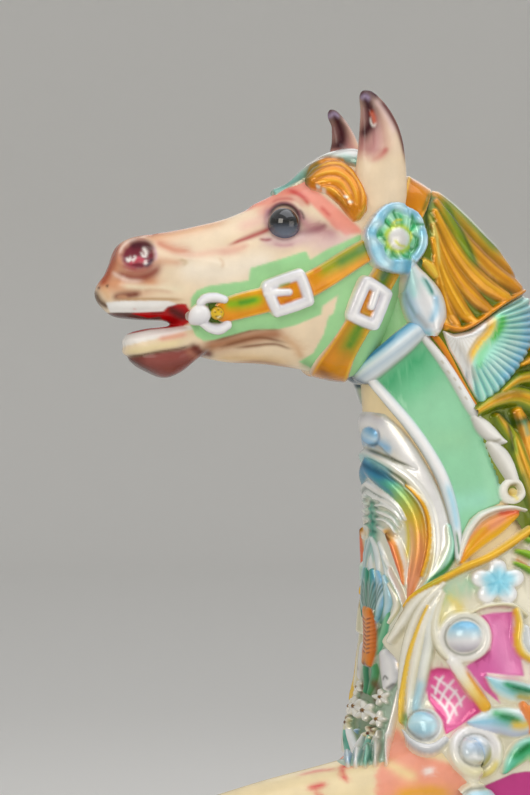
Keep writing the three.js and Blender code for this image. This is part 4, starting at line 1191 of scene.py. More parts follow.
def carve_mane(skin):
    skin.height[:] = 6.0 + 5.0 * np.clip((330 - skin.at[:, 1]) / 30, 0, 1)
    skin.paint[:] = linear("#70800e")
    for rise, tones, *path in MANE_LOCKS:
        wider = [(a, b, 1.15 * c) for a, b, c in np.reshape(path, (-1, 3))]
        skin.strand(wider, rise - 8, tones, base=9, power=0.6)
    for _, _, *path in MANE_LOCKS:
        for shift, tone in ((-0.55, "#fbc83c"), (-0.15, "#b87804"), (0.2, "#fbc83c"), (0.5, "#8a6404")):
            skin.wash(beside(path, shift, 0.7), tone, 0.5)
        for shift in (-0.35, 0.05, 0.4, 0.7):
            skin.swell(beside(path, shift, 0.9), -0.9)
    for green in ([434,200,3, 444,217,5, 454,236,5.4, 464,256,4.6, 474,274,3],
            [433,197,3, 448,210,4, 466,229,4.4, 482,248,4, 496,264,3], [440,197,3, 456,208,4, 474,222,4.4,
            492,240,4.6, 512,262,4], [484,244,2, 500,262,3, 516,282,3.4, 536,306,3.6, 556,334,3]):
        skin.wash(green, "#6f9a0e", 0.9)
        skin.wash(beside(green, 0.5, 1.4), "#2f5a0a", 0.8)
    skin.wash([431,196,2, 426,208,2.6, 425,220,2.6, 429,236,2.4], "#2f450c", 0.95)
    skin.swell([431,196,2, 426,210,2.4, 428,232,2.2], -5)
    # The thin olive-yellow lines along the front edge are painted glints.
    skin.washes(
        ("#e6e078", 0.8, 430,222,0.9, 434,236,1.1, 436,252,1.1, 437,268,0.9),
        ("#e6e078", 0.8, 427,214,0.8, 431,226,1, 432,240,0.9))
    skin.wash([436,284,2, 438,300,2.4, 440,316,2], "#5d3a0a", 0.75)
    skin.strand([442,326,2.4, 454,331,3, 467,327,3, 482,317,3, 498,305,3, 518,294,3], 22,
        "#d07e06 #f8a40c #e08a06 #8a5604", base=0)
    low = np.interp(skin.at[:, 0], [420, 480, 540], [0.45, 0.62, 1.0])
    skin.height *= np.clip((skin.at[:, 1] - 300) / 30, low, 1)
    skin.washes(
        ("#2f4f0c", 0.95, 496,416,4, 510,424,5, 522,420,4),
        ("#8fb024", 0.9, 503,424,1.5, 508,442,1.8, 511,460,1.8),
        ("#23400a", 0.9, 500,422,1.4, 505,440,1.6, 508,456,1.6),
        ("#4f6f12", 0.8, 514,470,3, 520,492,4, 528,512,4),
        # The small blue-green spot is a painted highlight.
        ("#5f9f7a", 0.7, 516,424,2, 519,436,2.4),
        ("#9a700e", 0.7, 484,402,3, 500,396,4, 516,396,4))
    skin.strand([423,262,4, 429,268,5.5, 434,276,4], 12, "#e8a81e #f7d24a #c98a14", base=0)


relief_piece("carved_mane_locks", chest, MANE_OUTLINE, carve_mane, gold_hair, ["mane"],
    0, 1, -1.1, extra=(chest[0][:, 2] > 1.04) & (chest[0][:, 0] > -0.372), share=0.36)


# A scallop shell lies on the mane's lower edge: white at the hinge, then a gold band, green, and pale blue
# ribs that fan out to the edge.
SHELL_HINGE = (455.0, 332.0)
SHELL_EDGE = [440,330, 452,334, 466,331, 482,321, 497,309, 512,299, 521,297, 526,312, 527.5,334, 526,346,
    521,358, 514,370, 505,382, 492,397, 479,406, 473,398, 464,382, 456,366, 447,350]
SHELL_BAND = [487,316,3, 485,326,3.6, 481,335,3.8, 475,342,3.8, 470,350,3.6, 466.5,358,3.2, 465.5,368,2.4]


def carve_shell(skin):
    skin.field(SHELL_EDGE, "#eff0ee", rise=12, bevel=8, base=4)
    skin.field([488,316, 500,308, 522,296, 530,312, 530,348, 516,374, 492,400, 478,407, 471,394, 467,372,
        468,358, 473,348, 483,338], "#a6ecd8", soft=3)
    skin.washes(
        ("#7cc8ee", 0.95, 514,304,8, 521,326,9, 517,350,9, 504,374,9, 488,394,8),
        ("#d9f4f2", 0.5, 486,372,6, 494,362,8, 506,346,7),
        ("#4cc63c", 0.95, 494,314,4, 494,326,5, 488,338,4, 482,345,3),
        ("#7fe09a", 0.8, 480,346,4, 476,356,4, 474,368,3))
    skin.wash(SHELL_BAND, "#efb91c", 1)
    skin.washes(
        ("#fae05a", 0.8, *beside(SHELL_BAND, 0.6, 1.2)),
        ("#b0900f", 0.6, *beside(SHELL_BAND, -0.9, 1.2)))
    chosen = skin.near(np.reshape(SHELL_EDGE, (-1, 2)), 2)
    depth = skin.inside(SHELL_EDGE, chosen)
    offset = skin.at[chosen] - SHELL_HINGE
    reach = np.hypot(offset[:, 0], offset[:, 1])
    turn = np.arctan2(offset[:, 1], offset[:, 0])
    rib = np.sin(turn * 58)
    fan = np.clip((reach - 36) / 12, 0, 1) * np.clip(depth / 2, 0, 1)
    skin.height[chosen] += 1.5 * rib * fan
    skin.tint(chosen, fan * np.clip(-rib, 0, 1) * 0.62, linear("#3f8296"))
    skin.tint(chosen, fan * np.clip(rib - 0.3, 0, 1) * 0.5, linear("#eefafc"))
    near_hinge = np.clip((34 - reach) / 14, 0, 1) * np.clip(depth / 3, 0, 1)
    skin.tint(chosen, near_hinge * np.clip(np.sin(turn * 30) - 0.2, 0, 1) * 0.4, linear("#b9ae96"))
    skin.washes(
        ("#c4c0b6", 0.6, 452,340,2, 462,358,3, 474,388,3),
        ("#e0a02a", 0.7, 523,338,1.2, 526,346,1.4, 521,354,1.2))


for side, sign in SIDES:
    relief_piece(side + "_scallop", chest, SHELL_EDGE, carve_shell, silver_tint, [side + "_shell"],
        sign, 2, 0.0, extra=chest[0][:, 2] > 1.30, share=0.36)


# A mint ribbon falls from a rolled end behind the jaw, down the side of the neck, between white edges. Its
# long field is left plain.
RIBBON_FIELD = [372,386, 388,360, 420,330, 433,350, 446,366, 456,383, 465,400, 475,418, 484,434, 493,452,
    500,470, 503,488, 500,504, 490,508, 479,513, 470,520, 463,534, 459,554, 456,535, 452,512, 445,484,
    432,459, 417,436, 398,412]


def carve_ribbon(skin):
    skin.field(RIBBON_FIELD, "#9bddb2", rise=5, bevel=3)
    skin.washes(
        ("#3cae74", 0.95, 372,400,12, 404,372,13, 434,344,12),
        ("#6fcd98", 0.7, 384,410,12, 416,384,13, 446,358,12),
        ("#a5e0b0", 0.6, 430,440,9, 462,440,10),
        ("#a6e8cd", 0.8, 456,504,9, 480,500,10),
        ("#c6efdc", 0.7, 497,474,3, 500,490,3, 498,503,3))
    skin.strand([376,383,5, 392,403,6, 409,424,6.4, 427,450,6.6, 442,478,6.8, 451,506,6.4, 456,532,5.6,
        458,558,4], 11, "#dfeaf2 #fbfdff #ffffff #e6ecee #8d968e")
    skin.washes(
        ("#a4daee", 0.85, 445,480,3.6, 453,508,3.8, 457,536,3.4),
        ("#1f7f4c", 0.85, 455,530,1.4, 457.5,546,1.5, 459,558,1.4))
    skin.strand([424,338,4.4, 437,355,5, 448,371,5.4, 459,389,5.8, 468,405,6, 476,418,5], 10,
        "#fbfbf8 #ffffff #e9ebe8 #c9cbc4")
    for across, down in ((446, 372), (452, 379), (457, 388), (463, 398), (440, 362)):
        skin.wash([(across, down, 1.0), (across + 1.6, down + 2, 0.9)], "#c3b9a2", 0.7)
    skin.strand([428,330,4.4, 438,342,4.8, 447,356,4.2, 456,373,3.2, 466,391,2.6, 477,409,2], 8,
        "#f0b53a #ef9a1a #d97f10 #8a5210", base=0)
    skin.strands(
        (12, "#fdfdfb #f7f6f1 #b9b8b0", 474,419,5, 481,427,8.4, 489,435,8.4, 498,441,4.6, 503,443,2),
        (12, "#fbfbf8 #f2f1ea #b4b2a4", 488,445,5, 497,455,9.4, 505,467,10, 510,479,7.5),
        power=0.45)
    skin.wash([483,441,1.4, 491,442,1.6, 498,440,1.4], "#9f9a84", 0.7)
    skin.strand(oval_path((510, 491.5), (8.8, 9.2), 4.6), 10, "#fbfaf2 #f4f1e4 #c9c2a2", base=2)
    skin.strand([510,492,5.4, 510.5,492.5,5.4], 7, "#f6e6a0 #caa032", base=1)
    skin.washes(
        ("#8a7a2a", 0.75, 507,487,2, 511,486,2.2),
        ("#f4e07a", 0.8, 511,496,2, 512,500,2))
    # The roll's colours run from a blue upper edge through a whitish painted highlight to a grey-brown lower
    # edge.
    roll = "#2f7fbe #7fc0ea #b8def2 #e6f2f8 #bfd2e0 #dfe8ee #a7a49a"
    skin.strand([369,374,11, 376,367,12.8, 390,354.5,13.2, 404,342,13.2, 415,332,12], 20, roll, power=0.6)
    skin.washes(
        # The dark slate at the roll's open end is painted shade in its hollow.
        ("#2c4858", 0.95, 358,366,3.4, 362,376,4.6, 372,386,3.4),
        ("#2a7ec0", 0.85, 366,366,2, 384,349,2.2, 400,333,2))


# Mint gloss enamel, laid on flat by brush: even colour, with a clear highlight along the folds.
mint_enamel = enamel("mint_gloss_enamel", roughness=0.22, grain_mm=4.0, streak=0.05)
for side, sign in SIDES:
    relief_piece(side + "_mint_ribbon", chest, [344,386, 354,364, 398,316, 436,316, 480,392, 520,476,
        526,508, 492,516, 464,564, 446,560, 430,480, 370,404], carve_ribbon, mint_enamel,
        [side + "_neck_ribbon"], sign, 2, -0.25, extra=chest[0][:, 2] > 1.12, share=0.22)


# Carved drapery wraps the front of the neck: broad white folds, a blue fold that runs to gold and peach, and
# a ball and leaves where it gathers. It is painted thinly over silver, so the folds keep a metal sheen.
DRAPE_FIELD = [346,408, 358,410, 370,411, 384,413, 400,427, 418,450, 434,480, 447,512, 455,545, 457,565,
    446,586, 420,606, 404,628, 386,652, 346,652]


# Relief this high swells sideways at the edge of the throat, so what lies near that edge is set in a little.
def set_in(skin, edge, reach, most):
    skin.at[:, 0] -= most * np.clip((edge - skin.at[:, 0]) / reach, 0, 1)


# The broad upper fold, with a thin dark crease under it.
def carve_upper_fold(skin):
    skin.strand([352,427,10, 368,425,12, 383,431,14.5, 398,446,14.5, 413,466,13, 427,490,12, 438,516,10.5,
        444,541,9, 445,562,6], 7, "#c2c4b6 #ffffff #fbfbfa #f1efe6 #dcdad0", power=0.4)
    skin.washes(
        ("#d9dbe4", 0.7, 352,418,5, 372,416,6, 388,426,5),
        ("#8fc4ea", 0.9, 358,442,4, 380,444,6, 396,452,5),
        ("#c9a86a", 0.5, 372,445,2, 384,450,2),
        ("#eadcb9", 0.6, 397,428,3, 404,436,3))
    skin.strand([352,446,4, 366,452,5.5, 382,459,6, 398,469,6.5, 414,482,7, 427,500,7, 434,522,6.5,
        436,548,6, 432,572,4.5, 424,588,3], 9, "#d8d6bc #fdfdfa #f5f2dc #ecd9a0", base=1, power=0.7)
    skin.wash([360,446.5,1.3, 378,453,1.5, 398,461,1.5, 416,469,1.3], "#4f5a40", 0.95)
    skin.swell([360,446.5,1.6, 378,453,1.8, 398,461,1.8, 416,469,1.4], -3.4)
    skin.share = np.clip(-skin.points[:, 1] / 0.004, 0, 1)
    skin.strand([370,435,9.6, 370.8,435.5,9.6], 9, "#5aa6de #8fc8ee #c9e6f8 #8fc4e9 #4f94cc", base=3)
    skin.wash(oval_path((370.3, 435.5), (10.2, 10.2), 1.1, 0, -60, 200, 9), "#3a6f9c", 0.7)
    skin.share = np.ones(len(skin.points))


# The blue fold runs down through green and yellow into peach, and a gold cord edges it.
def carve_blue_fold(skin):
    skin.strand([353,452,6, 362,462,7.5, 374,473,8, 388,483,8.5, 401,494,9, 412,509,9.5, 418,526,9.5,
        420,546,9, 417,568,8, 413,586,5.5, 411,602,2.5], 10,
        "#2474bc #2f82b4 #3a9aa4 #5fba9c #a9c860 #e0bf3c #f2b24a #f0a268 #f0a078 #eea27c", base=1,
        lengthwise=True, power=0.7)
    skin.washes(
        ("#3f8fc4", 0.85, 352,452,6, 368,463,7, 384,474,6),
        ("#8fd0cc", 0.85, 362,453,3, 380,464,4, 398,474,3.4),
        ("#1f5f7c", 0.85, 358,458,1.8, 372,467,2.2, 388,476,2.2, 402,484,1.8),
        ("#1f6fa0", 0.6, 364,470,2, 376,481,2.4, 390,489,2.4, 400,498,2),
        ("#e8cf2c", 0.9, 403,508,2.2, 408,524,2.8, 409,544,2.6, 406,566,2),
        ("#f8cfa0", 0.6, 412,520,2.4, 414,544,3, 411,570,2.6),
        ("#e0885a", 0.7, 421,528,2, 423,552,2.2, 419,578,1.8),
        ("#4f5618", 0.85, 386,468,1.6, 400,476,2, 412,488,2))
    skin.strand([407,485,1.2, 415,492,2.2, 424,504,3, 429,519,3.2, 430.5,538,3, 428,558,2.6, 423,576,1.8],
        13, "#f9cf3a #f0a81c #a8660e", base=1, power=0.7)


# White leaves curl away under it to a knot of petals.
def carve_knot_of_petals(skin):
    skin.strand([358,472,2.4, 366,482,3.6, 378,490,4.4, 390,497,4.4, 400,506,3.8, 407,519,2.4], 10,
        "#ffffff #f1f3ee #aab4aa", base=1, power=0.7)
    skin.wash([362,482,1, 376,492,1.2, 392,502,1.2, 401,512,1], "#5f6f62", 0.8)
    skin.strand([360,484,2, 370,493,3.4, 384,500,3.6, 396,509,3], 9, "#e9f1ee #fbfcfa #9fb0a4", base=1,
        power=0.7)
    skin.washes(
        ("#169a74", 0.95, 363,497,5, 366,512,7.5, 368,528,7.5, 371,541,5),
        ("#2f86c4", 0.85, 359,504,3, 360,520,3.6, 362,536,3))
    for k, (across, down) in enumerate(((368, 503), (372, 509), (366, 514), (373, 517), (368, 522),
            (374, 527), (367, 531), (372, 536))):
        skin.swell([(across, down, 2.0), (across + 1.4, down + 0.6, 2.0)], 3)
        skin.wash([(across, down, 1.0), (across + 1.2, down + 0.4, 1.0)], ("#0a5a44", "#7fd8bc")[k % 2],
            0.9)
    petal = "#8fc4b4 #fcfdfb #f1f1e8 #8a9a8c"
    skin.strands(
        (9, petal, 375,498,1.4, 384,499,3.2, 394,503,3, 402,511,1.6),
        (9, petal, 377,505,1.6, 386,505,2.6, 397,511,3.2, 404,521,1.6),
        (9, petal, 378,511,1.4, 387,514,3.2, 396,519,2.6, 401,527,1.6),
        (9, petal, 378,519,1.6, 386,520,2.4, 394,526,2.8, 398,533,1.4),
        (9, petal, 377,526,1.4, 384,530,2.8, 389,536,2.2, 391,544,1.4),
        base=2, power=0.8)
    skin.washes(
        ("#1fa488", 0.9, 366,497,4, 368,511,6.5, 369,526,6.5, 371,540,4.5),
        ("#3f8fc8", 0.8, 363,504,2.6, 364,520,3, 366,534,2.6))
    for across, down in ((370, 502), (374, 507), (368, 512), (375, 516), (370, 521), (376, 525), (371, 531)):
        skin.wash([(across, down, 1.3), (across + 2.5, down + 1, 1.2)], "#0c5f4c", 0.8)
    skin.wash([366,534,4, 369,548,4.5, 368,566,4], "#8fd0cc", 0.8)
    skin.strands(
        (8, "#f9fbfa #dfeef0 #6f9a96", 362,540,2, 366,554,3.2, 369,570,2.4),
        (8, "#f9fbfa #dfeef0 #6f9a96", 370,538,2, 375,554,3.4, 377,570,2.4),
        (8, "#f9fbfa #dfeef0 #6f9a96", 378,543,2, 383,558,3.2, 386,574,2.2),
        base=1, power=0.8)
    skin.strand([386,530,2.4, 394,540,6, 400,554,6.4, 405,570,5, 410,588,2.6], 9, "#fbfaf2 #f4ecd4 #c9bd96",
        base=1, power=0.7)
    skin.strand([390,533,2.4, 396,544,4.6, 400,556,5, 404,570,4.4, 407,584,2.4], 12,
        "#f7b62a #ef8f4c #ee7f58 #d9602c", base=2, power=0.8)
    skin.washes(
        ("#f6b41c", 0.95, 389,532,3.4, 394,538,3.8),
        ("#5a2f0a", 0.95, 391,534,1.8, 394.5,540,2))
    skin.strand([383,556,1.8, 392,574,2.6, 401,592,2.8, 406,606,2], 9, "#fdfdfb #eef4ee #6fb09c", base=2,
        power=0.8)


# A pale leaf edged with green ends the fall, where it meets the breast collar.
def carve_pale_leaf(skin):
    skin.strand([448,528,5, 450,546,7.5, 443,564,8.5, 431,580,7, 419,594,4], 9,
        "#45b487 #a9e0cc #eef4e2 #f2eccb", base=1, power=0.7)
    skin.washes(
        ("#1c8a4c", 0.95, 455,536,2, 456,552,2.4, 449,566,2.4, 436,577,2.2, 421,588,1.8),
        ("#e6e2b0", 0.7, 436,552,2, 432,566,2, 426,578,1.6))


def carve_drapery(skin):
    set_in(skin, 396, 36, 5)
    skin.field(DRAPE_FIELD, "#eeeede", rise=4, bevel=3)
    carve_upper_fold(skin)
    carve_blue_fold(skin)
    carve_knot_of_petals(skin)
    carve_pale_leaf(skin)
    low = np.interp(skin.at[:, 1], [515, 545], [1.0, 0.5])
    skin.height *= np.where(skin.at[:, 0] < 390, low, 1)


relief_piece("carved_neck_drapery", chest, [340,400, 362,406, 378,410, 400,424, 422,450, 440,480,
    452,512, 462,545, 464,568, 450,594, 424,616, 404,640, 384,660, 340,660], carve_drapery, silver_tint,
    ["neck_drapery"], 0, 1, -1.1,
    extra=(chest[0][:, 2] > 1.0) & (chest[0][:, 0] < -0.27), share=0.5)


# A garland of leaves and blossoms hangs down the middle of the chest, cut deep and picked out in orange,
# green and blue over silver.
def blossom(skin, centre, petals, inner, outer, half_width, rise, colours, start=0.0, heart=None, base=2):
    for turn in np.arange(petals) * 2 * math.pi / petals + math.radians(start):
        across, down = math.cos(turn), math.sin(turn)
        middle = (inner + outer) / 2
        skin.strand([(centre[0] + inner * across, centre[1] + inner * down, half_width * 0.55),
            (centre[0] + middle * across, centre[1] + middle * down, half_width),
            (centre[0] + outer * across, centre[1] + outer * down, half_width * 0.7)], rise, colours,
            base=base)
    if heart:
        skin.strand([(centre[0] - 0.3, centre[1], inner * 1.25), (centre[0] + 0.3, centre[1],
            inner * 1.25)], rise * 1.15, heart, base=base)


# The upper leaves: a fan in green and blue, hatched by the gouge.
def carve_upper_leaves(skin):
    skin.strands(
        (11, "#5f8f2c #2f9a66 #a8d8c8", 366,572,2, 364,590,4.6, 364,610,5, 366,626,2.4),
        (11, "#4f9ac4 #5fb8a0 #1f7a58", 371,570,2, 371,588,5, 371,606,5, 369,624,2.4),
        (11, "#5fa8d8 #bfe2ee #2f8f78", 377,571,2, 380,588,5.4, 380,604,5.2, 376,622,2.4),
        (11, "#8fc8e0 #cfe9ee #3a9a80", 384,576,2, 388,592,5, 388,606,4.8, 382,622,2.2),
        (11, "#f4f0cc #fbfaf0 #c9b98a", 390,584,2, 397,598,4.4, 397,609,4, 390,622,2),
        base=2, power=0.8)
    skin.wash([364,592,6, 368,606,8, 372,618,6], "#2a8a4c", 0.85)
    for k in range(11):
        lean = (k - 5) / 5
        for foot, tone in ((0.0, "#0f5a48"), (2.2, "#dff2f2")):
            across = 372 + 15 * lean + foot
            skin.wash([(across, 578 + 4 * abs(lean), 0.7), (370 + 11 * lean + foot, 596, 0.9),
                (368 + 6 * lean + foot, 614, 0.6)], tone, 0.75)
    skin.washes(
        ("#3f7a2c", 0.8, 366,576,1.6, 365,592,2, 366,608,1.8),
        ("#157a52", 0.85, 384,604,2, 383,620,3, 380,640,3, 376,656,2.4))
    skin.strand([388,612,3, 384,628,5, 379,644,4.6, 376,656,2], 9, "#2f9a70 #8fd0a4 #1a6a44", power=0.8)


# A ribbed orange blossom, seen from its side.
def carve_orange_blossom(skin):
    skin.strand([369,612,6, 368,625,11, 368,640,12.5, 369,653,10, 371,664,4], 17,
        "#b04c08 #ec8414 #ee961e #b9620e #6a3c10", base=3, power=0.35)
    for k in range(9):
        down = 619 + 4.4 * k
        for across in (361, 366, 371):
            skin.wash([(across, down - 0.3 * (across - 368), 0.9), (across + 2, down - 0.3 * (across - 366),
                0.9)], "#7a2c08", 0.8)
        skin.swell([(357, down + 3, 1.1), (367, down, 1.2), (378, down - 4, 1.0)], -1.8)
    skin.washes(
        ("#f4a83c", 0.8, 361,632,1.6, 360,642,1.8, 362,650,1.4),
        ("#5f3a12", 0.7, 366,662,2, 372,668,2.4, 376,676,2))


# Below it a pale round blossom, then small white ones with brown hearts between green leaves.
def carve_white_blossoms(skin):
    skin.strand([386,655,7, 390,665,11, 391,675,10.5, 389,686,6], 14, "#b9bcc8 #fdfdfd #f0eff2 #cfcbbc",
        base=2, power=0.6)
    skin.washes(
        ("#6f706a", 0.8, 386,681,1.4, 389,676,1.2, 393,680,1.4),
        ("#5f6058", 0.7, 391,688,1.6, 396,684,1.4),
        ("#e0b83a", 0.8, 401,664,1.6, 403,672,1.6))
    skin.strands(
        (9, "#2f9a5c #7fc88a #1a6a3c", 361,664,3, 362,676,5, 358,690,5, 354,704,2),
        (10, "#3f7a3a #57b07a #1f6a4f", 372,660,3, 374,672,5, 371,684,4.4, 368,694,2),
        power=0.8)
    skin.wash([374,682,3, 377,692,3.6, 374,700,3], "#6a4412", 0.85)
    petals = "#d2cebc #fbfaf4 #efeadb"
    blossom(skin, (383, 698), 5, 2.4, 7.4, 3.6, 11, petals, -30, "#a8781c #5f3a10", 3)
    blossom(skin, (366, 712), 6, 2.8, 8.4, 3.8, 12, petals, 20, "#9a6a14 #4f300c", 3)
    blossom(skin, (380, 720), 5, 2.4, 7.2, 3.4, 10, petals, 0, "#a8781c #5f3a10", 3)
    blossom(skin, (354, 700), 5, 2, 6, 2.8, 10, "#5fa8d0 #e4f3f8 #4f9a9a", 50, "#2f7fa8 #1f5f80", 3)
    blossom(skin, (372, 734), 5, 2.2, 6.6, 3.0, 9, "#c9c08a #f6f2dc #d9cfa0", 30, "#7a3f0c #4f2808", 3)
    skin.washes(
        ("#10845c", 0.85, 352,716,2, 355,724,2.4, 353,732,2),
        ("#7a3a0c", 0.8, 372,728,1.6, 376,732,1.6))


# The tail of the garland: blue, white and green blades that end where the leg springs.
def carve_garland_tail(skin):
    skin.strands(
        (10, "#5fa8d8 #dff0f8 #2f86b8", 344,764,3, 346,752,5, 350,740,4.6, 356,730,2),
        (10, "#eef6f8 #ffffff #8fb4b0", 352,765,3, 356,753,5, 362,742,4.4, 367,734,2),
        (10, "#2f9a8c #9fdcc8 #1a6a5c", 362,765,3, 366,754,4.6, 370,744,4, 372,736,2),
        (10, "#f8f8f4 #e6e4dc #a8a48c", 373,764,3, 376,752,5, 379,740,4, 381,732,2),
        (10, "#2a7fb4 #5fb4b8 #1a7a66", 340,756,2.4, 342,742,4, 346,728,3.4, 350,718,2),
        base=2, power=0.8)
    skin.wash([367,744,1.6, 368,756,1.8, 369,764,1.4], "#12805f", 0.8)
    skin.strand([400,690,2, 396,712,3, 391,734,3, 386,752,2.6, 385,764,2], 9, "#ffffff #f4f2ea #b9b49c",
        base=2, power=0.8)


def carve_garland(skin):
    set_in(skin, 396, 36, 4)
    skin.field([340,552, 372,548, 388,562, 400,590, 406,606, 396,622, 388,640, 392,656, 400,672, 401,696,
        396,722, 388,745, 384,761, 366,765, 341,766, 330,762, 330,552], "#bcd2c0", rise=4, bevel=3)
    skin.washes(
        ("#6f8a5a", 0.75, 370,680,16, 364,710,15, 358,740,13),
        ("#1f9484", 0.85, 356,676,5, 350,704,7, 344,730,7, 341,758,6))
    carve_upper_leaves(skin)
    carve_orange_blossom(skin)
    carve_white_blossoms(skin)
    carve_garland_tail(skin)
    skin.height *= np.interp(skin.at[:, 1], [570, 690, 740], [0.45, 0.55, 1.0])


relief_piece("carved_chest_garland", chest, [322,546, 372,544, 394,560, 410,596, 408,650,
    408,700, 396,744, 388,766, 322,770], carve_garland, silver_tint, ["chest_garland"],
    0, 2, -1.1, extra=(chest[0][:, 2] < 1.18) & (chest[0][:, 0] < -0.31), share=0.42)


# The breast collar is carved to look pierced: plumes, bosses, a flower and palmettes in tinted silver stand
# round magenta panels. Its rear half is the front half turned over about a leaning middle line.
COLLAR_MIDDLE = (-237.0, 938.0)
COLLAR_LEAN = 0.1
COLLAR_REAR = [(825, -112), (845, -112), (894, -95), (950, -86), (1005, -70), (1045, -64), (1090, -88),
    (1124, -120), (1162, -175), (1190, -213)]


def behind_middle(points):
    return points[:, 0] - (COLLAR_MIDDLE[0] + COLLAR_LEAN * (points[:, 2] / MM - COLLAR_MIDDLE[1])) * MM


def collar_frame(points):
    folded = points.copy()
    folded[:, 0] -= 2 * np.maximum(behind_middle(points), 0)
    return photo_frame(folded)


def boss(skin, centre, ball, ring, ball_tones, ring_tones, lean=(1.0, 0.0)):
    skin.strand([(centre[0], centre[1], ring), (centre[0] + 0.5, centre[1], ring)], 10, ring_tones, base=5,
        power=0.35)
    skin.swell(oval_path(centre, (ball + 1, ball + 1), 2.2), -3.5)
    skin.strand([(centre[0] - 0.4 * lean[0], centre[1] - 0.4 * lean[1], ball),
        (centre[0] + 0.4 * lean[0], centre[1] + 0.4 * lean[1], ball)], 18, ball_tones, base=5)
    skin.wash(oval_path(centre, (ball + 0.6, ball + 0.6), 1.2), "#85887e", 0.8)


CREAM = "#cdc7a8 #fbfaf0 #f2eeda #b9b28c"


# The magenta panels lie below the ornament, and the front one is crossed with white lines.
def carve_magenta_panels(skin):
    net = [427,688, 426,678, 430,671, 438,668, 450,669, 457,676, 468,690, 481,712, 466,722, 446,736,
        443,722, 436,711, 429,700]
    skin.field(net, "#f05ca4", rise=-2, bevel=1.5)
    skin.washes(
        ("#f888bc", 0.8, 448,686,8, 462,704,9, 452,722,8),
        ("#c92a74", 0.85, 430,672,2.4, 440,669,2.6, 452,671,2.4))
    for line in ([435.6,677.3, 447.7,686, 454.8,691.8, 459.3,698.9, 461.3,706.1],
            [432.3,686, 443.2,694.9, 449,701.6, 453.9,707.9, 456.8,715],
            [432.3,694.9, 440.5,702.9, 445,708.3, 447.7,713.2, 449.9,718.6],
            [443.2,676.6, 439.6,681.5, 436.5,690, 435.6,693.6], [453.5,680.2, 448.6,686.4, 443.7,693.6,
            439.6,702.9], [456.6,690, 449,700.3, 446.8,706.5, 445.4,708.8],
            [464.6,696.3, 454.8,707.9, 451.3,715, 447.7,723]):
        track = smooth_path([(a, b, 1.2) for a, b in np.reshape(line, (-1, 2))], 3)
        for a, b in zip(track, track[1:]):
            skin.wash([a, b], "#fff4fa", 0.85)
    wide = [478,616, 492,613, 511,612, 511,646, 520,660, 523,676, 486,673, 490,684, 500,704, 484,690,
        466,666, 480,658, 490,650, 492,636, 488,624]
    skin.field(wide, "#ea72b8", rise=-2, bevel=1.5)
    skin.washes(
        ("#f59acf", 0.85, 496,622,9, 502,646,12, 510,668,11),
        ("#b62874", 0.8, 491,648,2, 484,657,2.4, 472,664,2.2),
        ("#d8489a", 0.6, 488,618,2.4, 504,616,2.4))
    skin.field([482,786, 496,780, 512,773, 530,770, 530,812, 490,812], "#c8388a", rise=-2, bevel=1.5)


# Cream plumes sweep down from the stem, one with a gold rib.
def carve_plumes(skin):
    skin.washes(
        ("#a8e4c0", 0.75, 440,600,9, 456,588,10, 472,584,8),
        ("#f2dc6a", 0.75, 450,598,5, 458,606,7, 460,616,5),
        ("#f0e8a4", 0.7, 442,604,5, 443,618,6, 448,628,5))
    skin.strands(
        (10, CREAM, 446,577,3, 432,588,5, 416,602,6.6, 402,622,7, 391,640,4),
        (10, CREAM, 444,584,3, 430,598,5, 419,614,6, 411,634,6.4, 406,656,6.4, 403,682,5.6, 402,706,4),
        (10, "#d9cf9c #fbf8e4 #fdfcf4 #c4bd94", 442,592,3, 432,610,5, 425,632,6.4, 419,656,7, 414,684,6.6,
         411,710,5, 410,730,3),
        (10, "#b9b894 #f3f6ec #eef2ee #b9c4b8", 438,602,3, 432,624,5.4, 430,648,6.4, 425,674,6.6,
         420,698,5.6, 416,714,3),
        base=5, power=0.7)
    skin.strand([430,606,1.8, 421,628,3, 413,652,3.6, 407,680,3.6, 403,704,3.2, 402,724,2.4], 13,
        "#f8da6a #f6c83c #f2cc5a #d8b444", base=5, power=0.8)
    skin.washes(
        ("#a8dcee", 0.85, 424,684,4, 420,700,5, 418,710,5),
        ("#4fae5c", 0.8, 408,712,2.2, 406,722,2.4, 405,732,2))
    skin.strand([444,594,2.6, 438,608,4.4, 435,626,5, 438,642,5, 446,655,4.6, 454,662,3], 10,
        "#f9f7ea #efebd4 #b5ae8a", base=5, power=0.7)


# Pale blue bosses stand in raised rings down the collar, and a small white leaf cups the second.
def carve_bosses(skin):
    boss(skin, (464, 636.5), 17.5, 26.5, "#6fbcec #8fd0f4 #cdeaf6 #f2f3f5 #cfccd6 #a4a2ac",
        "#ecebd8 #fbfaf4 #f4f2ea #fbfaf6")
    boss(skin, (424.5, 727.5), 16, 20, "#9ad8f6 #c2ecfa #cdf0fa #b6e2f0 #94bccf",
        "#dfeaec #eef2f0 #d6dce0 #c6ccd4")
    skin.strand([403,734,2.2, 408,745,3.8, 420,751,4.6, 434,751,4.6, 446,743,3.6], 9,
        "#f4f5f6 #eceef0 #a9b0ba", base=5, power=0.7)
    boss(skin, (475, 751), 16.4, 27, "#e2e8ea #dce6ec #d4e2ea #cfd4cc #bdb884 #a8a04c",
        "#fbfbfa #f6f5f6 #f1efe4 #ece2a8", (0.75, -0.66))
    skin.washes(
        ("#6ab0ee", 0.95, 472,747,7, 475,751,7.5),
        ("#b4aa3c", 0.45, 482,762,4, 487,757,4))
    # The white flecks round the third ball's middle are painted highlights.
    skin.washes(
        ("#fbfdfe", 0.9, 464,748,1.4, 468,745,1.6),
        ("#fbfdfe", 0.9, 478,738,1.6, 484,742,1.8),
        ("#fbfdfe", 0.9, 466,760,1.4, 472,763,1.4))
    skin.wash([497,756,3, 490,770,4, 474,776,4], "#e6d23c", 0.7)
    boss(skin, (473, 802), 14, 19, "#a8def2 #dcf0f6 #c9d8de #9ca4a4", CREAM)


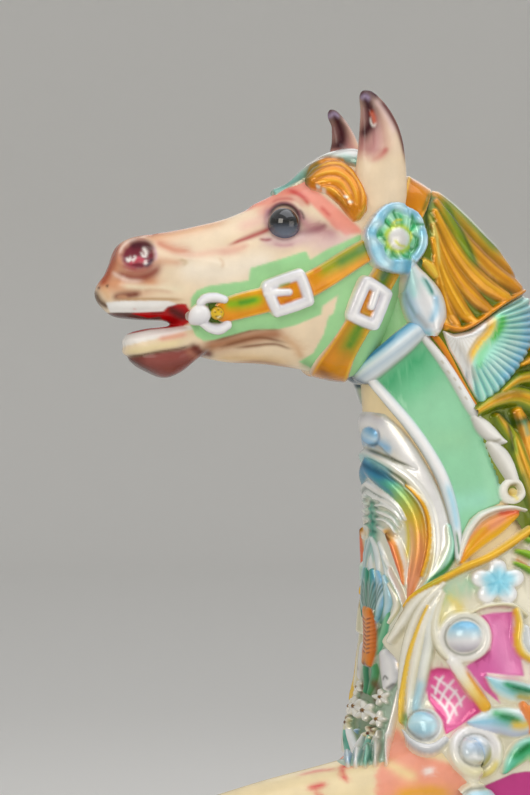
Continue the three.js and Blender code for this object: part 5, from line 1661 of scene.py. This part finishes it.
# A white bar runs to gold at its foot, and a gold rib turns the corner of the upper panel.
def carve_bar_and_rib(skin):
    skin.strand([453,660,6.4, 462,674,7, 473,690,7, 484,707,6.6], 12, "#fffefa #fdf8e6 #f8dc84 #f2b52c",
        base=5, lengthwise=True, power=0.5)
    skin.washes(
        ("#e8a01e", 0.9, 464,668,1.6, 474,684,2, 485,702,2.2),
        ("#e6cf9a", 0.7, 452,670,1.4, 462,686,1.6, 474,704,1.6))
    skin.strands(
        (10, "#fbf9ec #eae2bc #9f9a80", 470,613,2, 482,607.5,2.6, 498,605,3, 512,607,3, 522,616,3),
        (11, "#fdfcf4 #fbf0c4 #f6cc3c #f2b424", 513,610,3.4, 516,624,4.6, 515,640,4.8, 519,652,4.8,
         529,660,4.4),
        (10, "#f3f3f0 #e9eef0 #c4ccd0", 522,628,4, 524,644,5, 530,656,5),
        base=5, power=0.7)


# Palmettes of pale blue leaves with green hearts spring from an orange knot.
def carve_palmettes(skin):
    skin.strands(
        (10, "#f2f8f6 #b4e4ee #a4dce8 #f4f8f0", 486,677,2, 498,686,9, 512,691,12, 528,695,10),
        (10, "#fafbf8 #dff0f6 #9ad4ee #c4d8ec #b4b0cc", 469,723,3, 482,722,10, 497,721,14, 513,723,15,
         528,724,9),
        (10, "#cdf2ea #7fdcc0 #4fc090 #d6ecac", 503,771,2.4, 511,760,8, 521,750,11, 530,744,9),
        base=5, power=0.5)
    skin.washes(
        ("#169a62", 0.95, 504,684,4, 513,689,6.4, 524,693,5),
        ("#0d5f3a", 0.85, 510,688,2, 518,691,3, 526,694,2.4),
        ("#b8a414", 0.85, 516,698,3.4, 524,700,3.6, 530,698,3),
        ("#34ac64", 0.9, 494,714,5, 504,718,7, 514,721,5),
        ("#17703c", 0.8, 500,717,2, 508,719,3, 514,722,2.4),
        ("#f4cc3a", 0.9, 512,726,4, 520,726,4.6, 527,722,4),
        ("#189a4c", 0.9, 512,754,4, 520,750,5.4, 528,744,4),
        ("#0b6a2c", 0.8, 514,752,1.6, 521,747,2.4, 527,742,2))
    skin.strand([520,706,4, 526,716,8, 532,728,9], 12, "#f6a86a #f28c3c #ee9a6a", base=6, power=0.6)
    skin.wash([498,736,4, 506,742,5, 500,754,4], "#e4dfc4", 0.7)


# A round-petalled white flower with a pale blue middle.
def carve_collar_flower(skin):
    centre = (495, 583)
    for turn in np.radians(-90 + 72 * np.arange(5)):
        across, down = math.cos(turn), math.sin(turn)
        skin.strand([(centre[0] + 7 * across, centre[1] + 6 * down, 8.5),
            (centre[0] + 13 * across, centre[1] + 11 * down, 10), (centre[0] + 17 * across,
            centre[1] + 14.5 * down, 10)], 9, "#a4e2f4 #c2ecf6 #f6fafa #ffffff", base=6, lengthwise=True,
            power=0.5, rim="#cfccc8")
        skin.wash([(centre[0] + 7 * across, centre[1] + 7 * down, 6), (centre[0] + 12 * across,
            centre[1] + 11 * down, 5.4)], "#96e0f6", 0.85)
    skin.strand([494.5,583,8, 495.5,583,8], 9, "#aee6f8 #86dcf6 #aae6f6", base=6, power=0.7)
    for turn in np.radians(-54 + 72 * np.arange(5)):
        skin.wash([(centre[0] + 4 * math.cos(turn), centre[1] + 4 * math.sin(turn), 0.9),
            (centre[0] + 10 * math.cos(turn), centre[1] + 10 * math.sin(turn), 1.1)], "#5fb8d8", 0.6)


# What stands only on the front half: the gold stem, the orange leaf and its white edge, and green blades.
def carve_front_stem(skin):
    skin.share = np.clip(-behind_middle(skin.points) / 0.004, 0, 1)
    skin.wash([398,620,1.6, 402,612,1.8, 408,603,1.6], "#a88a4a", 0.7)
    skin.strand([405,606,1.6, 413,597,3.2, 426,589,4.2, 444,579,4.6, 465,568,4.8, 487,558,4.8, 507,545,4.8,
        526,530,4.6], 13, "#fae070 #f6c42c #eeb21c #b9982a", base=5, power=0.7)
    skin.wash([416,594,2, 432,585,2.4, 446,578,2], "#a8b42c", 0.7)
    skin.strand([461,562,3, 468,549,8, 480,536,11, 495,525,11, 512,515,6], 11,
        "#f6c49a #f29a3c #f5a11e #f6b81e #f4d23a", base=1, power=0.7)
    skin.washes(
        ("#e2503a", 0.85, 500,514,4, 508,513,3.4, 516,513,2.4),
        ("#f09a72", 0.9, 484,532,3, 494,524,4, 504,518,3))
    skin.strand([458,562,2.4, 462,546,4, 469,530,4.4, 479,517,4.2, 494,510,3.6, 510,508,3, 522,511,2.4], 12,
        "#fdfcf6 #f4f2e6 #bdb9a2", base=1, power=0.7)
    skin.wash([464,556,1.4, 472,540,1.6, 486,524,1.5], "#e8c020", 0.7)
    lime = "#dff06a #8fc424 #3f7a14"
    skin.strands(
        (10, lime, 514,552,3, 526,556,5, 544,568,6, 566,588,3),
        (10, lime, 512,564,2.4, 524,570,4, 542,584,5, 560,602,3),
        (10, lime, 522,540,3, 536,546,5, 556,560,5, 580,584,3),
        base=5, power=0.7)
    skin.wash([516,560,2, 524,566,2.4], "#e8a01e", 0.8)
    skin.share = np.ones(len(skin.points))


def carve_collar(skin):
    set_in(skin, 426, 26, 4)
    ground = [376,640, 402,612, 424,594, 452,572, 480,562, 508,546, 540,540, 540,812, 474,812, 470,786,
        452,766, 442,753, 424,756, 408,749, 400,734, 398,700, 394,668]
    skin.field(ground, "#f1ecd6", rise=6, bevel=4)
    skin.wash([414,606,6, 430,600,8, 440,640,8, 436,656,8], "#e6e0c2", 0.7)
    carve_magenta_panels(skin)
    carve_plumes(skin)
    carve_bosses(skin)
    carve_bar_and_rib(skin)
    carve_palmettes(skin)
    carve_collar_flower(skin)
    carve_front_stem(skin)


# Magenta enamel and silver leaf side by side under one varnish: glossy, with a little metal in the light.
magenta_paint = enamel("magenta_and_silver_enamel", roughness=0.24, metallic=0.12, grain_mm=3.0,
    grain_depth=0.25)
rear_edge = np.interp(chest[0][:, 2] / MM, [z for z, _ in COLLAR_REAR], [x for _, x in COLLAR_REAR]) * MM
for side, sign in SIDES:
    relief_piece(side + "_carved_breast_collar", chest, [372,632, 398,604, 440,568, 456,556, 460,530,
        490,504, 526,504, 552,524, 580,570, 580,812, 470,812, 464,790, 446,766, 424,766, 400,752, 392,730,
        390,664], carve_collar, magenta_paint, [side + "_breast_collar"], sign, 1, -0.6,
        extra=(chest[0][:, 0] > -0.418) & (chest[0][:, 0] < rear_edge), frame=collar_frame, calm=80,
        share=0.42)


# The trunk and legs are one smooth glass-fibre shell, moulded in halves and joined along the middle. It is
# cream enamel, airbrushed with peach where the muscles turn.
HIND_LEG = [
    (285, 850, 90), (275, 765, 84), (312, 698, 62), (388, 647, 44), (450, 603, 32), (508, 561, 28),
    (550, 531, 33), (576, 512, 27), (596, 494, 31),
]
TRUNK_VOXEL = 5.0
HIND_INSET = 82.0
HIP = (285.0, 850.0)
RIGHT_HIND_SWING = math.radians(9)


def swung(stations, angle):
    hip_x, hip_z = HIP
    return [(hip_x + (x - hip_x) * math.cos(angle) + (z - hip_z) * math.sin(angle),
        hip_z - (x - hip_x) * math.sin(angle) + (z - hip_z) * math.cos(angle), r) for x, z, r in stations]


LEGS = [(LEFT_FORELEG, -1, LEG_INSET), (RIGHT_FORELEG, 1, LEG_INSET), (HIND_LEG, -1, HIND_INSET),
    (swung(HIND_LEG, RIGHT_HIND_SWING), 1, HIND_INSET)]
limbs = [limb_form(path, side, inset) for path, side, inset in LEGS]
trunk_points, trunk_faces = fused([neck_form, barrel] + limbs, TRUNK_VOXEL, 10)
trunk_normals = normals_of(trunk_points, trunk_faces)
trunk_paint = Carving(trunk_points, "#f3e0b4")
trunk_paint.field([394,728, 385,757, 379,768, 376,774, 376,812, 470,812, 476,790, 452,764, 424,756, 408,744,
    400,730], "#f7a68c", soft=1.5)
trunk_paint.washes(
    ("#f5e0a4", 0.85, 382,762,3, 393,766,5, 406,774,6, 420,779,5),
    ("#eeae2c", 0.9, 390,797,6, 420,792,7, 456,794,7))
# The small pale square on the coral is a painted highlight: the reflection of a lamp.
trunk_paint.field([422,768.5, 433.5,766.5, 434.5,773.5, 423,775.5], "#fbf1ea", soft=0.8)
trunk_paint.washes(
    ("#dc1234", 1, 338,767.5,1.2, 350,765,2.2, 365,761.5,2.8),
    ("#dc1234", 1, 343,768,2, 342,774,2.6, 347,780,2),
    ("#dc1234", 1, 306,789,2.2, 317,786.5,3, 328,783,2),
    ("#dc1234", 1, 314,791,1.6, 320,796,2, 324,801,1.6),
    ("#e2566a", 0.8, 296,776,1, 316,771,1.2, 340,769,1.2))
trunk_paint.field([388,240, 432,240, 440,300, 428,336, 392,352, 372,352], "#a6dfa0", soft=1.0)
trunk = carved_piece("trunk_and_legs", trunk_points, trunk_faces, trunk_paint, skin_enamel, trunk_normals,
    share=0.22)
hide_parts("body", "neck", "left_foreleg", "right_foreleg", "left_hind_leg", "right_hind_leg")
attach(trunk, "galloper")


# The saddle cloth is moulded on: a magenta field inside a gold braid, with a fringe along its lower edge and
# silver bosses like the collar's.
CLOTH_OUTLINE = [37,1100, 37,900, 46,806, 80,775, 190,775, 268,788, 314,834, 335,900, 342,1100]
CLOTH_HEM = [(40, 1000, 4), (41, 900, 4), (52, 816, 4), (84, 784, 4), (190, 783, 4), (264, 796, 4),
    (308, 838, 4), (328, 900, 4), (336, 1000, 4)]
CLOTH_CENTRE = np.array([190.0, 1000.0])
GILT_CORD = "#b97c12 #f9cf52 #d9951c"
trunk_form = (trunk_points, trunk_faces, trunk_normals)
behind_view = trunk_points[:, 0] > -0.02


# From here on the marks are laid out in the plain side view, in mm: along the horse, and up from the floor.
def side_frame(points):
    return np.stack([points[:, 0], points[:, 2]], 1) / MM


def carve_saddle_cloth(skin):
    skin.field(CLOTH_OUTLINE, "#d8488f", rise=6, bevel=3)
    skin.wash([120,840,60, 240,850,60], "#c0307a", 0.5)
    inner = beside(CLOTH_HEM, 4.5, 9)
    skin.wash(inner, "#9fdfbe", 0.95)
    hem = smooth_path(CLOTH_HEM, 24)
    for x, z, _ in hem[::2]:
        toward = CLOTH_CENTRE - (x, z)
        toward /= np.linalg.norm(toward)
        skin.strand([(x, z, 2.6), (x - toward[0], z - toward[1], 2.8),
            (x - 8 * toward[0], z - 8 * toward[1], 1.4)], 5, "#a8700e #f6c23a #b97c12", base=2)
    skin.strand(CLOTH_HEM, 5, GILT_CORD, base=6)
    skin.strand(beside(CLOTH_HEM, 7.5, 2.2), 3, "#c8891a #ffe08a #c8891a", base=6)
    for x, z in ((262, 880), (70, 862), (286, 950)):
        skin.strand(oval_path((x, z), (19, 19), 5), 8, "#c9ccc2 #fbfbf6 #e6e2d0", base=6)
        skin.strand([(x, z, 15), (x + 0.5, z, 15)], 13, "#b3bbc0 #f4f4f2 #b5d6ee #7fb2dc", base=6)
    for x, z in ((166, 806), (210, 812), (120, 806)):
        blossom(skin, (x, z), 5, 4, 11, 5, 6, "#c3b9d6 #fbf9fc #e3dcee", 90, "#f0c040 #d99a1e", 6)


# Magenta enamel that stands for cloth: a duller gloss than the skin's, over a fine grain.
cloth_enamel = enamel("magenta_cloth_enamel", roughness=0.28, grain_mm=3.0, grain_depth=0.3)
relief_piece("moulded_saddle_cloth", trunk_form, [30,1100, 30,760, 350,760, 350,1100], carve_saddle_cloth,
    cloth_enamel, ["saddle_cloth"], 0, 1, -2, behind_view, side_frame, share=0.3)


# The girth passes under the belly as one flat band in the bridle's gold and green. It is moulded on the
# trunk, 5 mm thick, and painted.
def carve_girth(skin):
    strap_band(skin, [125,778,24, 125,700,24, 125,620,24], 5,
        "#ee9a1e #f3b433 #6fa52c #6fa52c #f3b433 #e88a14")


relief_piece("painted_girth", trunk_form, [92,776, 92,600, 158,600, 158,776], carve_girth, gold_enamel,
    ["girth"], 0, 1, -2, behind_view, side_frame)


# The saddle is moulded in the shape of a hunting saddle: dipped seat, raised cantle and two stitched flaps,
# painted as tan leather with gilt piping.
SEAT_ROWS = [(44, 1058, 940, 52), (64, 1064, 940, 74), (105, 1040, 930, 104), (155, 1028, 930, 122),
    (215, 1036, 930, 126), (268, 1078, 930, 118), (300, 1102, 940, 96), (320, 1096, 940, 60)]
SEAT_SQUARENESS = 2.4
SEAT_VOXEL = 3.6
FLAP_OUTLINE = [(60, 1010), (64, 940), (68, 880), (78, 852), (94, 838), (120, 831), (150, 829), (176, 836),
    (196, 852), (208, 886), (215, 930), (222, 1010)]
FLAP_MIDDLE = 140
SEAT_OUTLINE = [40,1120, 40,1004, 56,994, 120,984, 220,990, 290,1000, 326,1016, 332,1120]


def carve_saddle(skin):
    skin.field(FLAP_OUTLINE, "#b0582e", rise=14, bevel=5)
    skin.field(SEAT_OUTLINE, "#b8602f", rise=5, bevel=4)
    skin.washes(
        ("#cd7a42", 0.6, 90,1044,40, 190,1030,50, 280,1060,30),
        ("#8c3f20", 0.6, 100,860,26, 190,870,26))
    skin.swell([118,930,14, 112,880,16, 124,850,10], 3)
    # The gilt cord runs 4 mm inside the flap's edge, and the stitches 12 mm inside it.
    rim = [(x, z, 1 if x < FLAP_MIDDLE else -1) for x, z in FLAP_OUTLINE]
    skin.strand([(x + 4 * inward, z + 3, 2.6) for x, z, inward in rim], 4, GILT_CORD, base=12)
    stitch = smooth_path([(x + 12 * inward, z + 11, 1) for x, z, inward in rim], 10)
    for a, b in zip(stitch[::3], stitch[2::3]):
        skin.strand([(a[0], a[1], 1.3), (b[0], b[1], 1.3)], 2, "#f3e2b0 #fff3cf", base=14)
    skin.strand([44,1010,3, 70,1002,3, 120,996,3, 200,998,3, 270,1008,3, 322,1020,3], 4, GILT_CORD, base=6)
    skin.swell([64,1030,6, 110,1016,6, 180,1010,6, 250,1030,6], -2)


# Tan enamel that stands for leather: warm, clouded and rather dull over a fine grain.
saddle_enamel = enamel("tan_saddle_enamel", roughness=0.3, grain_mm=2.5, grain_depth=0.35, streak=0.1)
seat = fused([barrel, lengthwise_form(SEAT_ROWS, SEAT_SQUARENESS)], SEAT_VOXEL, 12)
relief_piece("moulded_saddle", (*seat, normals_of(*seat)), [34,1120, 34,1000, 54,984, 60,870, 84,826,
    150,820, 206,838, 224,920, 230,984, 332,1004, 336,1120], carve_saddle, saddle_enamel, ["saddle"],
    0, 0, -2, None, side_frame, share=0.5)


# The tail is one carved switch of hair, moulded by itself in glass-fibre, gilt over green and fixed by its
# root in the rump.
TAIL = [(425, 912, 16), (454, 922, 24), (492, 908, 34), (524, 876, 41), (544, 820, 46), (552, 750, 47),
    (545, 680, 42), (528, 620, 28), (512, 578, 7)]


def carve_tail(skin):
    skin.height[:] = -4.0
    skin.paint[:] = linear("#6d5a10")
    gold = "#7c5a0a #d98d14 #f6b62a #f0a31c #8a5c0c"
    track = smooth_path(TAIL, 3)
    step = np.gradient(track[:, :2], axis=0)
    step /= np.linalg.norm(step, axis=1)[:, None]
    for number, share in enumerate((-0.84, -0.52, -0.2, 0.12, 0.44, 0.78)):
        sway = 0.12 * np.sin(np.linspace(0, 5, len(track)) + number)
        lock = [(p[0] + step[k, 1] * p[2] * (share + sway[k]), p[1] - step[k, 0] * p[2] * (share + sway[k]),
            max(2.0, 0.27 * p[2])) for k, p in enumerate(track)]
        skin.strand(lock, 5.5, gold, base=-4, power=0.42)
        skin.wash([(a, b, 0.3 * c) for a, b, c in lock], "#ffd25c", 0.5)
        for shift in (-0.5, 0.4):
            skin.swell(beside([(a, b, c) for a, b, c in lock[::3]], shift, 1.2), -1.2)
    skin.wash([530,860,10, 548,800,12], "#5d8a20", 0.5)


tail = fused([limb_form(TAIL, 0, 0)], 4.0, 6)
relief_piece("carved_tail", (*tail, normals_of(*tail)), [300,400, 300,1100, 700,1100, 700,400], carve_tail,
    gold_hair, ["tail"], 0, 1, -2, None, side_frame, share=0.3)


# The hooves are moulded with the legs and painted black, with a gilt coronet. An iron shoe is let into each
# sole.
HOOF_SECTIONS = [(0.5, 29), (3, 33), (7, 33), (9, 31), (24, 35), (38, 38.5), (43, 39.5), (43.5, 38),
    (47.5, 38), (48, 36)]
CORONET_END = 8.0
SHOE_START = 43.2


def hoof_form(stations, side, inset):
    (x0, z0, _), (x1, z1, _) = stations[-2:]
    ankle = np.array([x1, side * (inset + LEG_SPLAY), z1])
    along = np.array([x1 - x0, side * 1.6, z1 - z0])
    along /= np.linalg.norm(along)
    out = np.cross(along, (0.0, 1.0, 0.0))
    out /= np.linalg.norm(out)
    beside_it = np.cross(along, out)
    across, up = superellipse(2.0, 40)
    rings = [ankle + along * d + r * (np.outer(up, out) + np.outer(across,
        beside_it)) for d, r in HOOF_SECTIONS]
    return np.vstack(rings) * MM, tube_faces(len(rings), len(across)), len(across)


# Black gloss enamel, two coats: deep black with a small bright highlight.
hoof_enamel = enamel("black_gloss_enamel", roughness=0.18, grain_mm=5.0)
HOOF_NAMES = ["left_forehoof", "right_forehoof", "left_hind_hoof", "right_hind_hoof"]
for name, (stations, side, inset) in zip(HOOF_NAMES, LEGS):
    points, faces, size = hoof_form(stations, side, inset)
    hoof = mesh_object("shod_" + name, points, faces, hoof_enamel)
    distance = np.repeat([d for d, _ in HOOF_SECTIONS], size)
    tones = np.where(distance[:, None] < CORONET_END, linear("#e0a028"),
        np.where(distance[:, None] > SHOE_START, linear("#8a8886"), linear("#17161a")))
    lay_paint(hoof, tones)
    edge = hoof.modifiers.new("edge", "BEVEL")
    edge.width = 0.6 * MM
    edge.segments = 2
    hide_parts(name)
    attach(hoof, "galloper")


# The pole is a twisted brass sleeve of four strands wound left-handed, over a steel spigot that slides in
# the guide. Its grooves keep dark polish. Its sizes are in metres; a strand turns once in four
# pitches.
POLE_FOOT = 0.540
POLE_TOP = 2.150
POLE_RADIUS = 0.025
GROOVE_RADIUS = 0.021
STRANDS = 4
STRAND_PITCH = 0.176
POLE_RINGS = 380
POLE_AROUND = 56


def twisted_pole():
    angle = np.linspace(0, 2 * math.pi, POLE_AROUND, endpoint=False)
    rings = []
    depth = []
    for z in np.linspace(POLE_FOOT, POLE_TOP, POLE_RINGS):
        turn = -(z - POLE_FOOT) / (STRAND_PITCH * STRANDS) * 2 * math.pi
        lobe = np.abs(np.cos(STRANDS / 2 * (angle - turn))) ** 0.55
        radius = GROOVE_RADIUS + (POLE_RADIUS - GROOVE_RADIUS) * lobe
        rings.append(np.stack([radius * np.cos(angle), radius * np.sin(angle), np.full_like(angle, z)], 1))
        depth.append(lobe)
    return np.vstack(rings), tube_faces(POLE_RINGS, POLE_AROUND), np.concatenate(depth)


# Bare brass, polished by hand: a warm mirror on the strands, with old polish dark in the grooves.
brass = enamel("polished_brass", roughness=0.2, coat=0.0, metallic=1.0, grain_mm=3.0, grain_depth=0.05,
    streak=0.1)
points, faces, lobe = twisted_pole()
pole = mesh_object("twisted_brass_pole", points, faces, brass)
shine = np.clip((lobe - 0.35) / 0.5, 0, 1)[:, None]
tones = linear("#4f3714") * (1 - shine) + linear("#d9a648") * shine
lay_paint(pole, tones)
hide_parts("twisted_pole")
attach(pole, "galloper")


# Plain turned and forged ironwork: the spigot, the hanger that the crank above takes hold of, the foot-rest
# bar with its grooved treads, and the guide that stands on the platform.
def turned(profile, centre=(0, 0, 0), axis="Z", around=64):
    angle = np.linspace(0, 2 * math.pi, around, endpoint=False)
    rings = []
    for radius, place in profile:
        ring = np.stack([radius * np.cos(angle), radius * np.sin(angle), np.full_like(angle, place)], 1)
        if axis == "Y":
            ring = ring[:, [0, 2, 1]][::-1]
        rings.append(ring + centre)
    return np.vstack(rings) * MM, tube_faces(len(rings), around)


def hardware(name, parts, material, body, replaced, bevel=1.2):
    piece = mesh_object(name, *joined(parts), material)
    edge = piece.modifiers.new("edge", "BEVEL")
    edge.width = bevel * MM
    edge.segments = 3
    edge.limit_method = "ANGLE"
    edge.harden_normals = True
    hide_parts(*replaced)
    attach(piece, body)


def metal(name, tone, roughness, wear, grain_mm):
    material, tree, shader = new_material(name)
    place = add_node(tree, "ShaderNodeTexCoord").outputs["Object"]
    cloud = add_node(tree, "ShaderNodeTexNoise", {"Vector": place, "Scale": 1 / (30 * MM), "Detail": 6.0})
    mix = add_node(tree, "ShaderNodeMix", {"Factor": cloud.outputs["Fac"]}, data_type="RGBA")
    mix.inputs["A"].default_value = (*linear(tone), 1)
    mix.inputs["B"].default_value = (*linear(wear), 1)
    stretch = add_node(tree, "ShaderNodeMapping", {"Vector": place, "Scale": (1.0, 1.0, 12.0)})
    lines = add_node(tree, "ShaderNodeTexNoise", {"Vector": stretch.outputs[0], "Scale": 1 / (grain_mm * MM)})
    bump = add_node(tree, "ShaderNodeBump", {"Height": lines.outputs["Fac"], "Strength": 0.3,
        "Distance": 0.1 * MM})
    tree.links.new(mix.outputs["Result"], shader.inputs["Base Color"])
    tree.links.new(bump.outputs[0], shader.inputs["Normal"])
    shader.inputs["Roughness"].default_value = roughness
    shader.inputs["Metallic"].default_value = 1.0
    return material


# Ground steel is cool and bright with fine lines. Japanned iron is black baked varnish with a satin gloss.
# Turned brass is plain and warm, worn a little darker in clouds about 30 mm wide.
steel = metal("ground_steel", "#b9babb", 0.28, "#8f9192", 2.0)
iron = metal("black_japanned_iron", "#2c2b2b", 0.42, "#3d3a37", 4.0)
plain_brass = metal("turned_brass", "#d0a04a", 0.22, "#a97a2c", 2.0)


def box_form(centre, size):
    x, y, z = np.array(size) / 2
    corners = np.array([(-x, -y, -z), (x, -y, -z), (x, y, -z), (-x, y, -z), (-x, -y, z), (x, -y, z),
        (x, y, z), (-x, y, z)])
    faces = [(0, 3, 2, 1), (4, 5, 6, 7), (0, 1, 5, 4), (1, 2, 6, 5), (2, 3, 7, 6), (3, 0, 4, 7)]
    return (corners + centre) * MM, faces


def bolt(x, y, z, radius, height, rise=1):
    return turned([(radius, z), (radius, z + rise * height)][::rise], (x, y, 0), around=6)


# The spigot is a ground bar driven into the pole's foot; it slides in the guide.
hardware("ground_steel_spigot", [turned([(16, 170), (19, 176), (19, 541)])], steel, "galloper",
    ["steel_spigot"])
# The hanger is a flat plate forged on a collar, with four bolts up into the crank.
hanger_bolts = [bolt(x, y, 2150, 7, 7, -1) for x in (-52, 52) for y in (-29, 29)]
hardware("bolted_hanger_plate", [box_form((0, 0, 2158), (130, 84, 16)),
    turned([(37, 2090), (37, 2150.5)])] + hanger_bolts, iron, "galloper", ["hanger_plate"])
# The foot-rest bar goes through a boss on the pole. Twelve grooves are turned in each of its treads.
FOOT_REST_HEIGHT = 634
tread = [(12, 129), (16, 131)]
for groove in range(12):
    start = 133 + groove * 7.4
    tread += [(16, start), (14.2, start + 1.5), (14.2, start + 3), (16, start + 4.5)]
tread += [(16, 223), (13, 225)]
other_tread = [(r, -s) for r, s in tread[::-1]]
treads = [turned(profile, (0, 0, FOOT_REST_HEIGHT), "Y") for profile in (tread, other_tread)]
hardware("foot_rest_and_treads", [turned([(11, -224), (11, 224)], (0, 0, FOOT_REST_HEIGHT), "Y"),
    turned([(34, 614), (36, 617), (36, 651), (34, 654)])] + treads, plain_brass, "galloper",
    ["foot_rest_bar"], 0.6)
# The flange is a cast disc on the platform, held down by four bolts.
flange_bolts = [bolt(66 * math.cos(a), 66 * math.sin(a), 12, 9, 7) for a in np.radians((45, 135, 225, 315))]
hardware("bolted_floor_flange", [turned([(90, 0), (90, 9), (87, 12), (34, 12), (30, 12.4)])] + flange_bolts,
    iron, "platform_guide", ["floor_flange"])
# The guide is a tube set in the flange, with a collar at its mouth that steadies the spigot.
GUIDE_PROFILE = [(21.5, 12), (27, 12), (27, 354), (32, 354), (32, 380), (19.8, 380), (19.8, 354), (21.5, 354)]


def guide_form():
    points, _ = turned(GUIDE_PROFILE + GUIDE_PROFILE[:1])
    count = len(GUIDE_PROFILE)
    size = 64
    faces = []
    for i in range(count):
        for j in range(size):
            k = (j + 1) % size
            faces.append((i * size + j, i * size + k, ((i + 1) % count) * size + k,
                ((i + 1) % count) * size + j))
    return points[:count * size], faces


hardware("collared_guide_tube", [guide_form()], steel, "platform_guide", ["guide_tube"], 0.8)
